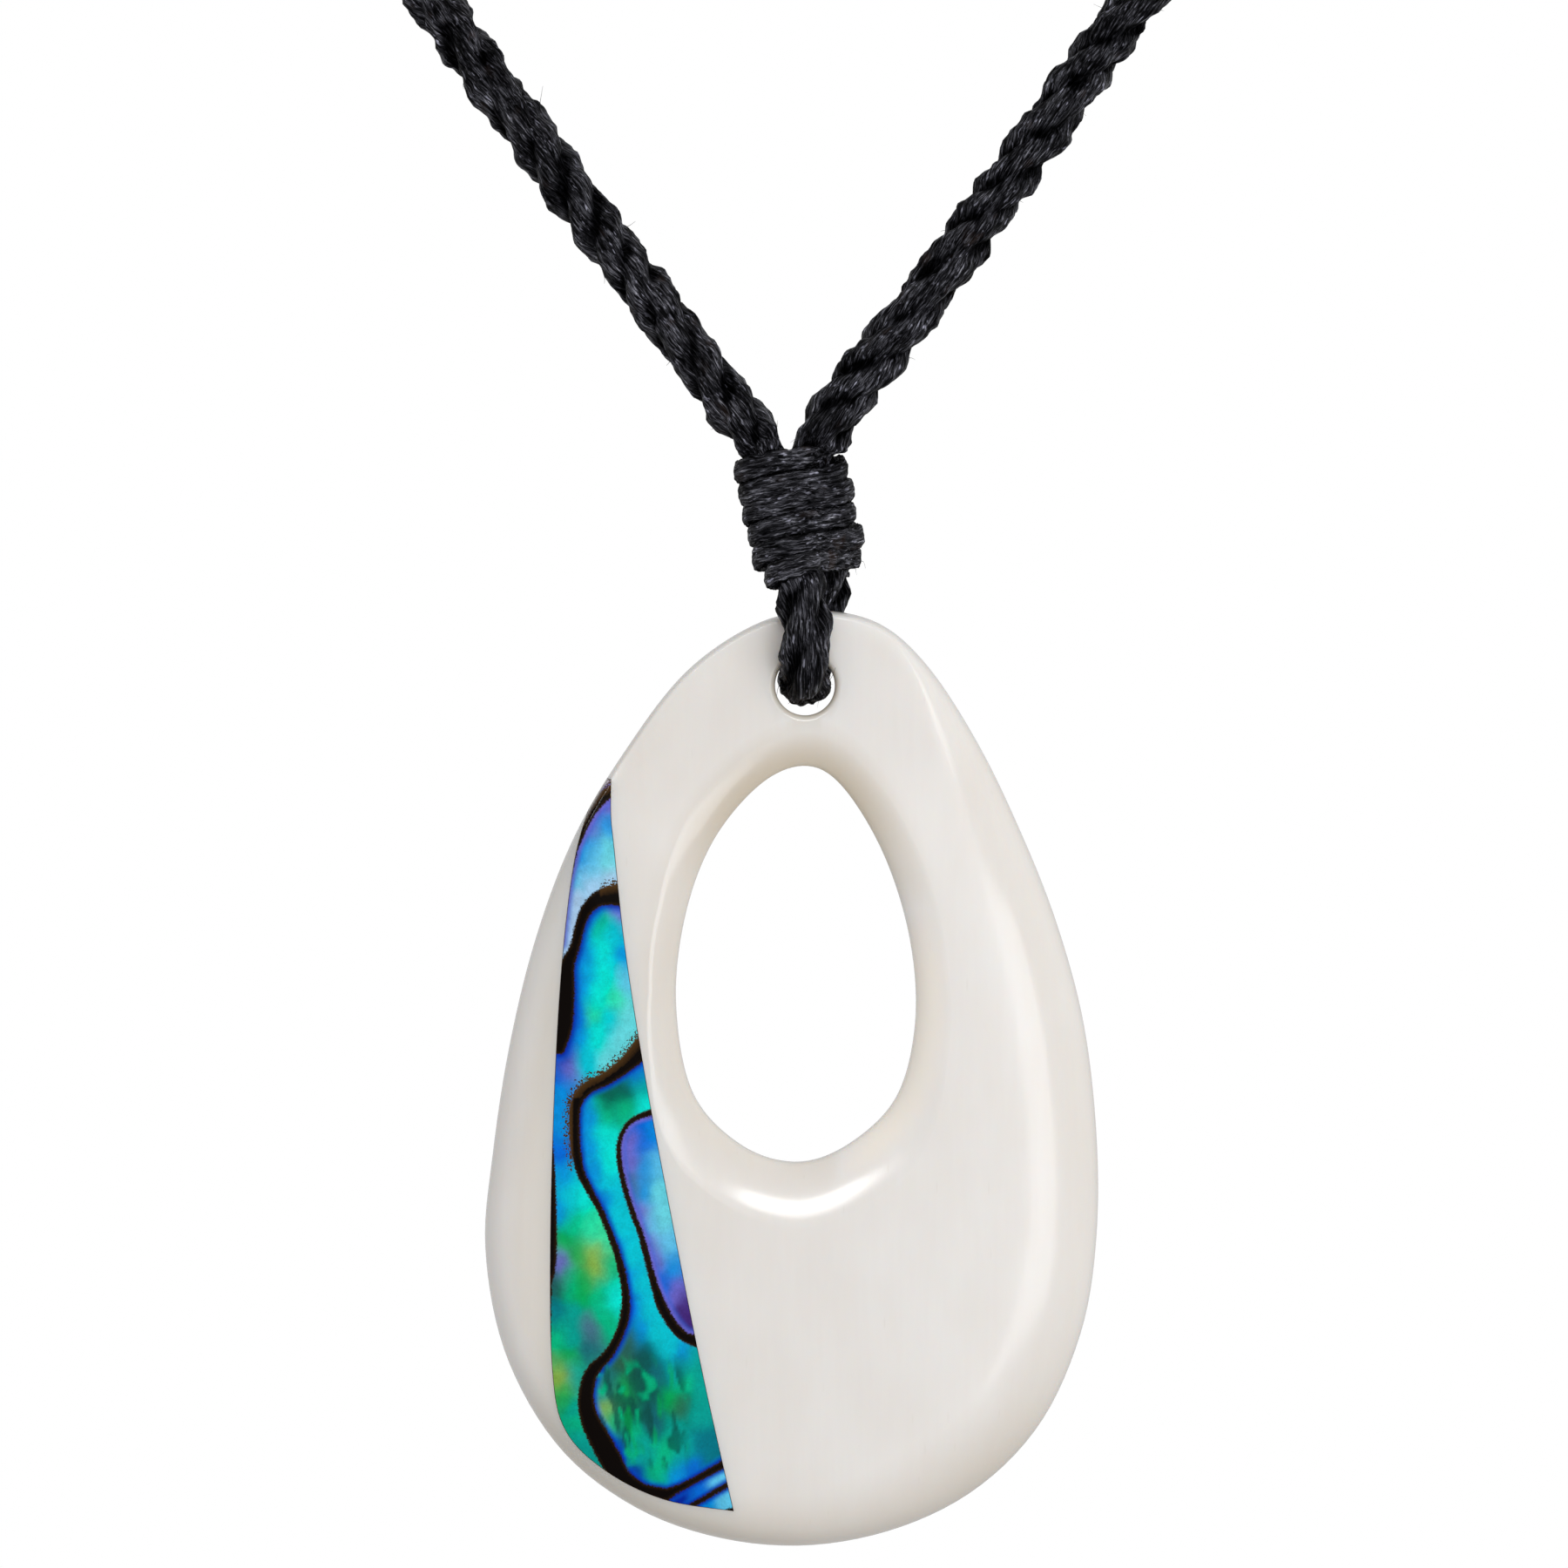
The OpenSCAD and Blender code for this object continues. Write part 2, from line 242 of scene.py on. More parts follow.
FIELD_KINDS = {1: ("FLOAT", "value"), 3: ("FLOAT_VECTOR", "vector"), 4: ("FLOAT_COLOR", "color")}


def add_field(piece, name, values):
    """Stores a value, vector or colour at each point, for the piece's material to read."""
    mesh = piece.data
    flat = np.ascontiguousarray(values, np.float32).reshape(len(mesh.vertices), -1)
    kind, key = FIELD_KINDS[flat.shape[1]]
    mesh.attributes.new(name, kind, "POINT").data.foreach_set(key, flat.ravel())


def add_mesh(name, points, edges, faces):
    """A piece from points in millimetres."""
    mesh = bpy.data.meshes.new(name)
    mesh.from_pydata((np.array(points) * MM).tolist(), edges, faces)
    return add_object(name, mesh)


def mesh_from_rings(name, rings, fields):
    """A closed tube through rings of points, with named values at each point."""
    count, sides = rings.shape[:2]
    start = np.arange(count - 1)[:, None] * sides
    k = np.arange(sides)[None, :]
    following = (k + 1) % sides
    walls = np.stack([start + k, start + following, start + sides + following,
                      start + sides + k], axis=-1).reshape(-1, 4)
    faces = walls.tolist()
    faces.append(list(range(sides))[::-1])
    faces.append(list(range((count - 1) * sides, count * sides)))
    piece = add_mesh(name, rings.reshape(-1, 3), [], faces)
    for label, values in fields.items():
        add_field(piece, label, values)
    piece.data.polygons.foreach_set("use_smooth", [True] * len(piece.data.polygons))
    return piece


def lumps(angle, s, r, size, seed):
    """Random lumps of this size on a tube of radius r, at each ring and side, from -1 to 1."""
    x, y = (r / size * trig(angle).ravel() for trig in (np.cos, np.sin))
    return np.array([[noise.noise(Vector((a, b, v + seed))) * 2 for a, b in zip(x, y)]
                     for v in s / size])


# Soft cotton: no strand is as thick as the next. Sizes and heights of its bulges and lumps are
# shares of the cord's radius. The twist strays by this many radians, over this share of a lay.
BULGE_SIZE = 1.1
BULGE_HEIGHT = 0.1
LUMP_SIZE = 0.4
LUMP_HEIGHT = 0.05
TWIST_STRAYS = 0.5
TWIST_STRAYS_OVER = 0.7
# The yarns run the other way, with this many times the lay. They bunch together on each strand
# and stray at each bulge, in radians. Between valley and ridge, at 0 and 1, this height is level
# with the strand.
YARN_LAY = 1.7
YARN_BUNCHING = 1.5
YARN_STRAYS = 0.9
YARN_MIDDLE = 0.6
# The grooves between the strands get painted shade, at its darkest this deep, as a share of the
# radius, and a bulge closes them.
DEEP_GROOVE = 0.38
BULGE_CLOSES = 1.3
# A wound thread gets painted shade towards the next turn between these two shares of its half
# width. The seam strays with the lumps, and its shade varies with the bulges.
SEAM_START = 0.72
SEAM_FULL = 0.95
SEAM_STRAYS = 0.08
SEAM_SHADE = 0.8
SEAM_SHADE_STRAYS = 0.6


def laid_tube(name, middle, s, across, size, *, lay, strands, depth, sides, yarns, yarn_depth,
              seams=0, squareness=2):
    """Strands twisted right-handed into a cord, with painted shade in the grooves between them.
    size is half its width and half its thickness at each ring; yarns is how many of them show
    around it, side by side in the strands; seams is how much painted shade it gets down both its
    sides, where turns of a wound thread meet. A squareness of 2 gives a round section, and more a
    squarer one."""
    heads = headings(middle)
    second = np.cross(heads, across)
    angle = 2 * np.pi * np.arange(sides)[None, :] / sides
    strays = waver(s, lay * TWIST_STRAYS_OVER, seed=3.7)
    turned = 2 * np.pi * s[:, None] / lay + TWIST_STRAYS * strays[:, None]
    strand = lobes(angle - turned, strands, depth)
    thick = size.mean()
    broad = lumps(angle, s, thick, thick * BULGE_SIZE, seed=12.3)
    small = lumps(angle, s, thick, thick * LUMP_SIZE, seed=31.7)
    yarn_turned = 2 * np.pi * s[:, None] / (lay * YARN_LAY)
    yarn_angle = yarns * angle - yarn_turned + YARN_BUNCHING * np.sin(2 * turned)
    ridge = np.abs(np.sin(yarn_angle / 2 + YARN_STRAYS * broad)) - YARN_MIDDLE
    fine = yarn_depth * ridge * (1 + small)
    r = strand * (1 + BULGE_HEIGHT * broad) + LUMP_HEIGHT * small + fine
    r /= (np.abs(np.cos(angle))**squareness + np.abs(np.sin(angle))**squareness)**(1 / squareness)
    cos_part = (size[:, :1] * r * np.cos(angle))[..., None] * across[:, None, :]
    sin_part = (size[:, 1:] * r * np.sin(angle))[..., None] * second[:, None, :]
    rings = middle[:, None, :3] + cos_part + sin_part
    mean = size.mean(axis=1)[:, None]
    straight = np.stack([mean * np.cos(angle), mean * np.sin(angle), s[:, None] + 0 * angle],
                        axis=-1)
    # Painted shade, from the depth of the grooves between strands and from the seams where turns
    # of a thread meet.
    low = np.clip((1 - strand) / DEEP_GROOVE * (1 - BULGE_CLOSES * broad), 0, 1)
    met = smooth(SEAM_START, SEAM_FULL, np.abs(np.sin(angle)) + SEAM_STRAYS * small)
    shade = np.clip(SEAM_SHADE + SEAM_SHADE_STRAYS * broad, 0, 1)
    low = np.maximum(low, seams * shade * met)
    return mesh_from_rings(name, rings, {"straight": straight, "groove": low})


HAIR_R = 0.018
HAIR_STEPS = 4
HAIR_LENGTHS = (0.15, 0.45)
# How far the hairs lean from straight out and how far they bend, as shares of their length, and
# how much thinner they end.
HAIR_LEAN = 1.1
HAIR_BEND = 0.6
HAIR_TAPER = 0.6


def add_stray_fibres(piece, count, seed):
    """Fine curved hairs that stand off a cord or thread here and there."""
    at = points_of(piece) / MM
    normals = read_vectors(piece.data.vertices, "normal")
    straight = read_vectors(piece.data.attributes["straight"].data, "vector")
    chance = np.random.default_rng(seed)
    points = []
    faces = []
    lies = []
    for k in chance.choice(len(at), count, replace=False):
        first = unit(normals[k] + HAIR_LEAN * chance.normal(size=3))
        bend = HAIR_BEND * chance.normal(size=3)
        length = chance.uniform(*HAIR_LENGTHS)
        side = unit(np.cross(first, [0.3, 0.5, 0.8]))
        other = np.cross(first, side)
        start = len(points)
        for i in range(HAIR_STEPS):
            share = i / (HAIR_STEPS - 1)
            middle = at[k] + length * (share * first + share**2 * bend)
            for turn in np.radians([0, 120, 240]):
                points.append(middle + HAIR_R * (1 - HAIR_TAPER * share)
                              * (math.cos(turn) * side + math.sin(turn) * other))
                lies.append(straight[k])
        for i in range(HAIR_STEPS - 1):
            for j in range(3):
                a, b = start + 3 * i + j, start + 3 * i + (j + 1) % 3
                faces.append((a, b, b + 3, a + 3))
        faces.append((start + 2, start + 1, start))
        faces.append(tuple(range(len(points) - 3, len(points))))
    hairs = add_mesh("hairs", points, [], faces)
    add_field(hairs, "straight", lies)
    add_field(hairs, "groove", np.zeros(len(points)))
    join_to(piece, hairs)


CORD_LAY = 9.2
# The cord's rings lie close together over this length to each side of its middle, which is what
# the photograph shows, and further apart round the neck.
FINE_REACH = 66
FINE_STEP = 0.2
COARSE_STEP = 0.7
# Below the lashing the cord spreads: seen from the front it gets this much wider on its way
# between these two heights over the hole.
SPREAD = 0.16
SPREAD_TOP = 7.5
SPREAD_LOW = 4


def make_neck_cord():
    """Three strands of waxed cotton, round the neck, through the lashing and the drop's hole."""
    route = cord_route()
    total = lengths_along(route)[-1]
    fine_from, fine_to = total / 2 - FINE_REACH, total / 2 + FINE_REACH
    s = np.concatenate([np.arange(0, fine_from, COARSE_STEP),
                        np.arange(fine_from, fine_to, FINE_STEP),
                        np.arange(fine_to, total, COARSE_STEP)])
    middle = at_lengths(route, s)
    across = carried_along(headings(middle), [0, 0, 1])
    half = middle[:, 3:4] / 2 * np.ones((1, 2))
    cord = laid_tube("laid_cord", middle, s, across, half, lay=CORD_LAY, strands=3, depth=0.41,
                     sides=72, yarns=15, yarn_depth=0.05)
    rings = points_of(cord).reshape(len(s), -1, 3)
    wider = 1 + SPREAD * smooth(-SPREAD_TOP, -SPREAD_LOW, HOLE[2] - middle[:, 2])[:, None]
    centre_x = middle[:, None, 0] * MM
    rings[..., 0] = centre_x + (rings[..., 0] - centre_x) * wider
    cord.data.vertices.foreach_set("co", rings.ravel())
    add_stray_fibres(cord, 400, seed=5)
    return cord


THREAD_T = 0.65
THREAD_STEP = 0.13
# At its very ends a thread has this share of its width.
THREAD_END = 0.25
# Half the width of a turn is more than half the pitch, so that the turns press on each other.
LASHING_FULLNESS = 1.06
LASHING_THICKENING = 1.1
LASHING_LOW = 5.2
LASHING_TURNS = 6
LASHING_SLOPE = 0.14
LASHING_PITCH = 1.15
CORD_CLEARANCE = 0.1
# The thread starts at the back, a quarter of the way round from the right.
BACK = 0.25
LASHING_START = -0.1
# It ends early, and is tucked in this deep over the last part of a turn.
TUCK_START = LASHING_TURNS - 0.7
TUCK_TURNS = 0.35
TUCK_DEPTH = 0.5
# How far it strays along the lashing and out from it.
STRAY_ALONG = 0.16
STRAY_OUT = 0.06
# Sides of the lashing where the thread is drawn in: the turn at which it passes them, and by
# how much. It comes back out over a quarter of a turn each way.
TIGHT_SIDES = {0.25: 0.4, 0.75: 0.35, 4.75: 0.2}
TIGHT_REACH = 0.25


def leg_at(leg, z):
    """Centre and half the level width of a leg at a height above the hole."""
    table = np.array(leg)[::-1]
    x, y, d = (np.interp(z, table[:, 2], table[:, k]) for k in (0, 1, 3))
    step = 0.4
    lean = [np.interp(z + step, table[:, 2], table[:, k])
            - np.interp(z - step, table[:, 2], table[:, k]) for k in (0, 1)]
    return np.array([x, y]), d / 2 * math.hypot(*lean, 2 * step) / (2 * step)


def bound_point(z, angle, offset):
    """A point beside the legs of the cord, in the level direction of the angle."""
    front, back = (leg_at(leg, z)[0] for leg in (FRONT_LEG, BACK_LEG))
    d = np.array([math.cos(angle), math.sin(angle)])
    leg = FRONT_LEG if (front - back).dot(d) > 0 else BACK_LEG
    level = z
    # The place and its level hang on each other, and settle in three rounds.
    for _ in range(3):
        centre, reach_out = leg_at(leg, level)
        p = centre + (reach_out + CORD_CLEARANCE + offset) * d
        level = z + LASHING_SLOPE * (p[0] - (front[0] + back[0]) / 2)
    return np.array([p[0], p[1], level])


def wound_thread(name, path, outward, half_width, half_thickness, ends):
    """A waxed thread laid along a path, flat against what it is wound on."""
    s = np.arange(0, lengths_along(path)[-1], THREAD_STEP)
    middle = at_lengths(path, s)
    out = at_lengths(np.column_stack([path, outward]), s)[:, 3:]
    heads = headings(middle)
    out = unit(out - (out * heads).sum(axis=1, keepdims=True) * heads)
    whole = smooth(0, ends, np.minimum(s, s[-1] - s))[:, None]
    size = np.array([[half_thickness, half_width]]) * (whole * (1 - THREAD_END) + THREAD_END)
    return laid_tube(name, middle, s, out, size, lay=5, strands=3, depth=0.03, sides=36,
                     yarns=9, yarn_depth=0.06, seams=1, squareness=2.4)


def drawn_in(turn):
    """How much further in than elsewhere the thread lies at a turn of the lashing."""
    return sum(most * max(0, 1 - ((turn - side) / TIGHT_REACH)**2)**2
               for side, most in TIGHT_SIDES.items())


def make_lashing():
    """Six turns of thread around both legs, rising to the right, with their ends tucked in."""
    turns = np.arange(LASHING_START, TUCK_START + TUCK_TURNS, 1 / 72)
    along = waver(turns, 0.31, seed=5.3)
    proud = waver(turns, 0.23, seed=9.6)
    path = []
    outward = []
    for t, aside, out in zip(turns, along, proud):
        angle = 2 * math.pi * (t + BACK)
        z = LASHING_LOW + (t + 0.5) * LASHING_PITCH + STRAY_ALONG * aside
        inside = TUCK_DEPTH * smooth(TUCK_START, TUCK_START + TUCK_TURNS, t)
        offset = THREAD_T / 2 + STRAY_OUT * out - inside - drawn_in(t)
        path.append(bound_point(z, angle, offset) + HOLE)
        outward.append([math.cos(angle), math.sin(angle), 0])
    path = np.array(path)
    even = np.arange(0, lengths_along(path)[-1], THREAD_STEP)
    both = softened(at_lengths(np.column_stack([path, outward]), even), reach=3)
    lashing = wound_thread("bound_lashing", both[:, :3], both[:, 3:],
                           LASHING_PITCH / 2 * LASHING_FULLNESS,
                           THREAD_T / 2 * LASHING_THICKENING, ends=1.5)
    add_stray_fibres(lashing, 90, seed=8)
    return lashing


WHIPPING_TURNS = 8
WHIPPING_D = 6
WHIPPING_PITCH = 1.3
WHIPPING_FULLNESS = 1.02
NAPE_Y = 3
# The outermost turns slope in by this much, between these counts of turns from each end.
SLOPE_IN = 0.55
SLOPE_TURNS = (0.4, 1.6)
# The under-layer lies this far below the thread's middle, is rounded off at both its ends, and
# gets painted shade as dark as that of a groove this deep.
UNDER_DROP = 0.2
UNDER_FLAT = 0.44
UNDER_SHADE = 0.7


def make_nape_whipping():
    """The thread that binds the cord's two ends, wound over an under-layer of the same."""
    length = WHIPPING_TURNS * WHIPPING_PITCH
    outer = WHIPPING_D / 2 - THREAD_T / 2
    turns = np.arange(0.5, WHIPPING_TURNS - 0.5, 1 / 96)
    angle = 2 * np.pi * turns
    near_end = smooth(*SLOPE_TURNS, np.minimum(turns, WHIPPING_TURNS - turns))
    r = outer - SLOPE_IN * (1 - near_end)
    outward = np.stack([0 * angle, np.cos(angle), np.sin(angle)], axis=1)
    along = np.stack([turns * WHIPPING_PITCH - length / 2, 0 * angle, 0 * angle], axis=1)
    middle = np.array([0, NAPE_Y, 0]) + along + outward * r[:, None]
    thread = wound_thread("nape_thread", middle, outward,
                          WHIPPING_PITCH / 2 * WHIPPING_FULLNESS, THREAD_T / 2, ends=1)
    x = np.array([[-0.5], [-UNDER_FLAT], [UNDER_FLAT], [0.5]]) * length
    under_r = outer - UNDER_DROP
    r = np.array([[CORD_D / 2], [under_r], [under_r], [CORD_D / 2]])
    around = np.radians(np.arange(0, 360, 7.5))[None, :]
    rings = np.stack([x + 0 * around, NAPE_Y + r * np.cos(around), r * np.sin(around)], axis=-1)
    # Painted shade on the under-layer, where it lies beneath the thread.
    shade = np.full(rings.shape[:2], UNDER_SHADE)
    join_to(thread, mesh_from_rings("under_layer", rings, {"straight": rings, "groove": shade}))
    return thread


# Bone drop: x and z of its outlines from the cord hole.
DROP_OUTLINE = [
    [0.8, 4], [4, 3.3], [6.6, 1], [9.2, -3], [11.4, -7.5], [13.4, -12.5], [14.9, -18],
    [15.6, -24], [15.6, -29.5], [14.8, -34.5], [12.7, -39.3], [9.4, -42.8], [5.2, -45],
    [0.3, -46], [-4.6, -45.6], [-9.2, -43.9], [-13.2, -40.7], [-16, -35.8], [-17.1, -30.2],
    [-16.7, -25], [-15.8, -19.2], [-14.4, -13.5], [-12.4, -8.2], [-9.7, -3.6], [-6.4, 0.7],
    [-2.6, 3.3],
]
EYE_OUTLINE = [
    [0, -4.3], [2, -5.4], [4.2, -9], [5.6, -13.5], [5.9, -18], [4.9, -22], [2.4, -24.5],
    [-0.4, -25.5], [-3.4, -24.6], [-6, -21.8], [-6.9, -17], [-6.4, -12.3], [-4.9, -8.3],
    [-2.4, -5.3],
]
INLAY_INNER_EDGE = [
    [-10.35, -5], [-10.35, -7], [-10.2, -8.5], [-9.6, -14], [-8.5, -21], [-7, -29],
    [-5.4, -37], [-3.8, -44.1],
]
INLAY_OUTER_EDGE = [
    [-3.8, -44.1], [-7.5, -43.5], [-10.6, -42], [-12.8, -39.8], [-13.5, -36.5], [-13.6, -30],
    [-13.4, -22], [-13, -15], [-12.35, -9.5], [-11.5, -6.4], [-10.85, -4.9],
]
DROP_T = 5
CROWN_T = 3.5
# Width of the rounded outer edge, by the direction from the eye's middle in degrees.
EDGE_ROUNDS = [
    (-90, 2.8), (-75, 4.2), (-62, 6), (-52, 6.2), (-40, 5.7), (-20, 5), (7, 3.9), (38, 3.1),
    (52, 2.7), (60, 2.2), (67, 1.1), (73, 0.4), (148, 0.25), (157, 1.4), (170, 3.6), (185, 4.4),
    (210, 4.2), (235, 3), (270, 2.8),
]
# Below 1 the rounding is fuller than a quarter of an ellipse.
EDGE_FULLNESS = 0.8
# Width of the hollowed bevel round the eye, by the same directions.
EYE_BEVELS = [
    (-90, 3.4), (-60, 3.1), (-35, 2.1), (0, 1.7), (30, 1.8), (60, 1.9), (90, 1.7), (125, 2),
    (155, 1.5), (190, 1.4), (215, 1.9), (240, 3), (270, 3.4),
]
EYE_RIM_T = 2.6
# The bevel stops this far short of a full quarter turn, so that its lip shows, in degrees.
LIP_STOP = 30
LIP_SOFTNESS = 0.12
CROWN_LOW = -2
BODY_HIGH = -14
# The face falls away by this share of its height towards the outer edge of the body.
DOME = 0.12
EYE_CENTRE = np.array([-0.4, -15])
CORD_HOLE_R = 1.6
HOLE_BEVEL = 0.3
# The hole's cutter opens this wide in front of the bone.
HOLE_CUTTER_R = 3
INLAY_T = 2
INLAY_GAP = 0.03


def apply_modifier(piece, kind, **settings):
    only(piece)
    modifier = piece.modifiers.new(kind.lower(), kind)
    for name, value in settings.items():
        setattr(modifier, name, value)
    bpy.ops.object.modifier_apply(modifier=modifier.name)


def reach_of(outline, centre, d):
    """Distance from a centre to a closed outline in the unit direction d."""
    p = outline - centre
    side = np.roll(outline, -1, axis=0) - outline
    turn = d[0] * side[:, 1] - d[1] * side[:, 0]
    with np.errstate(divide="ignore", invalid="ignore"):
        along = (p[:, 0] * side[:, 1] - p[:, 1] * side[:, 0]) / turn
        s = (p[:, 0] * d[1] - p[:, 1] * d[0]) / turn
    return along[(along > 0) & (s >= -1e-9) & (s <= 1 + 1e-9)].max()


def half_thickness(z):
    return (CROWN_T + (DROP_T - CROWN_T) * (1 - smooth(BODY_HIGH, CROWN_LOW, z))) / 2


SECTIONS = 240
ROUND_STEPS = 14
FLAT_STEPS = 8


def bone_section(angle, outer_curve, eye_curve):
    """One cross-section of the drop, from its outer edge over the front into the eye and back."""
    d = np.array([math.cos(angle), math.sin(angle)])
    outer = reach_of(outer_curve, EYE_CENTRE, d)
    inner = reach_of(eye_curve, EYE_CENTRE, d)
    outer_z, inner_z = (EYE_CENTRE[1] + d[1] * r for r in (outer, inner))
    turn = (math.degrees(angle) + 90) % 360 - 90
    edge, bevel = (np.interp(turn, *np.array(table).T) for table in (EDGE_ROUNDS, EYE_BEVELS))
    rim = EYE_RIM_T / 2 / half_thickness(inner_z)
    a = np.radians(np.linspace(0, 90, ROUND_STEPS))
    b = np.linspace(0, math.radians(90 - LIP_STOP), ROUND_STEPS)
    flat = np.linspace(outer - edge, inner + bevel + LIP_SOFTNESS, FLAT_STEPS + 1)[1:]
    r = np.concatenate([outer - edge * (1 - np.cos(a)**EDGE_FULLNESS), flat,
                        (inner + bevel * (1 - np.cos(b)) / (1 - math.cos(b[-1])))[::-1]])
    share = np.concatenate([np.sin(a)**EDGE_FULLNESS, np.ones(FLAT_STEPS),
                            (rim + (1 - rim) * np.sin(b) / math.sin(b[-1]))[::-1]])
    lip = inner + bevel
    dome = DOME * (1 - smooth(BODY_HIGH, CROWN_LOW, outer_z))
    share *= 1 - dome * np.clip((r - lip) / (outer - lip), 0, 1)**2
    x, z = EYE_CENTRE[0] + d[0] * r, EYE_CENTRE[1] + d[1] * r
    front = np.stack([x, -half_thickness(z) * share, z], axis=1)
    wall = [[x[-1], 0, z[-1]]]
    back = (front * [1, -1, 1])[:0:-1]
    return np.concatenate([front, wall, back])


def make_bone_blank(name):
    """The drop before its hole and pocket are cut: a ring drawn out to the drop's sections."""
    outer_curve, eye_curve = (curve_through(outline, steps=12, closed=True)
                              for outline in (DROP_OUTLINE, EYE_OUTLINE))
    across = 2 * (2 * ROUND_STEPS + FLAT_STEPS)
    bpy.ops.object.select_all(action="DESELECT")
    bpy.ops.mesh.primitive_torus_add(major_segments=SECTIONS, minor_segments=across)
    blank = bpy.context.active_object
    blank.name = blank.data.name = name
    sections = [bone_section(2 * math.pi * i / SECTIONS, outer_curve, eye_curve)
                for i in range(SECTIONS)]
    set_points(blank, (np.concatenate(sections) + HOLE) * MM)
    return blank


def make_outline_block(name, outline, front_y, floor_y):
    """A block with a flat outline in x and z, from front_y back to floor_y."""
    bpy.ops.object.select_all(action="DESELECT")
    bpy.ops.mesh.primitive_circle_add(vertices=len(outline), fill_type="NGON")
    block = bpy.context.active_object
    block.name = name
    flat = np.stack([outline[:, 0], np.full(len(outline), front_y), outline[:, 1]], axis=1)
    set_points(block, (flat + HOLE) * MM)
    bpy.ops.object.mode_set(mode="EDIT")
    bpy.ops.mesh.select_all(action="SELECT")
    bpy.ops.mesh.extrude_region_move(
        TRANSFORM_OT_translate={"value": (0, (floor_y - front_y) * MM, 0)})
    bpy.ops.mesh.select_all(action="SELECT")
    bpy.ops.mesh.normals_make_consistent(inside=False)
    bpy.ops.object.mode_set(mode="OBJECT")
    return block


def make_turned(name, profile, steps=96):
    """A solid turned about the axis of the cord hole; the profile lists radius and y."""
    points = [HOLE + [r, y, 0] for r, y in profile]
    piece = add_mesh(name, points, [(i, i + 1) for i in range(len(points) - 1)], [])
    only(piece)
    bpy.ops.object.mode_set(mode="EDIT")
    bpy.ops.mesh.select_all(action="SELECT")
    bpy.ops.mesh.spin(steps=steps, angle=2 * math.pi, center=HOLE * MM, axis=(0, 1, 0))
    bpy.ops.mesh.select_all(action="SELECT")
    bpy.ops.mesh.remove_doubles(threshold=1e-6)
    bpy.ops.mesh.normals_make_consistent(inside=False)
    bpy.ops.object.mode_set(mode="OBJECT")
    return piece


def inlay_outline():
    inner, outer = (curve_through(edge, steps=8) for edge in (INLAY_INNER_EDGE, INLAY_OUTER_EDGE))
    return np.concatenate([inner[:-1], outer])


def inset(outline, gap):
    along = unit(np.roll(outline, -1, axis=0) - np.roll(outline, 1, axis=0))
    return outline + gap * np.stack([along[:, 1], -along[:, 0]], axis=1)


def within_drop(outline, margin):
    """The outline drawn in where it comes nearer to the drop's edge than the margin."""
    edge = curve_through(DROP_OUTLINE, steps=12, closed=True)
    ray = outline - EYE_CENTRE
    away = np.linalg.norm(ray, axis=1)
    most = [reach_of(edge, EYE_CENTRE, d) - margin for d in ray / away[:, None]]
    return EYE_CENTRE + ray * np.minimum(1, most / away)[:, None]


def shade_smooth(piece):
    only(piece)
    bpy.ops.object.shade_smooth_by_angle(angle=math.radians(40))


def cut_with(piece, cutter, operation):
    apply_modifier(piece, "BOOLEAN", object=cutter, operation=operation, solver="MANIFOLD")
    bpy.data.objects.remove(cutter)


INLAY_FLOOR = INLAY_T - DROP_T / 2


def make_bone_drop():
    """Carved and polished bone: the blank with its cord hole and the pocket for the shell."""
    drop = make_bone_blank("carved_bone")
    face = CROWN_T / 2
    flare = [(CORD_HOLE_R + HOLE_BEVEL * (1 - math.cos(a)), face - HOLE_BEVEL * (1 - math.sin(a)))
             for a in np.radians(np.arange(0, 91, 15))]
    half = flare + [(HOLE_CUTTER_R, DROP_T)]
    profile = [(0, -DROP_T)] + [(r, -y) for r, y in half[::-1]] + half + [(0, DROP_T)]
    cut_with(drop, make_turned("hole_cutter", profile), "DIFFERENCE")
    pocket = make_outline_block("pocket_cutter", inlay_outline(), -DROP_T, INLAY_FLOOR)
    cut_with(drop, pocket, "DIFFERENCE")
    shade_smooth(drop)
    return drop


# Shell.

SHELL_COLOURS = {
    "black": "#0C0604", "brown": "#4E3416", "pearl": "#D6C8D2", "navy": "#1F2CA4",
    "blue": "#2B6CDC", "azure": "#2494E2", "sky": "#6CCCEE", "shallow": "#72DCE4",
    "pale": "#B4D4F4", "turquoise": "#00EADA", "aqua": "#12CCD8", "mint": "#3CE4AA",
    "green": "#16BE84", "leaf": "#1CAA52", "olive": "#98B446", "moss": "#2E6048",
    "teal": "#12A69A", "deep": "#1C6472", "bottle": "#124E46", "mauve": "#506C8C",
    "slate": "#107888", "violet": "#786ECC", "purple": "#452A74",
}
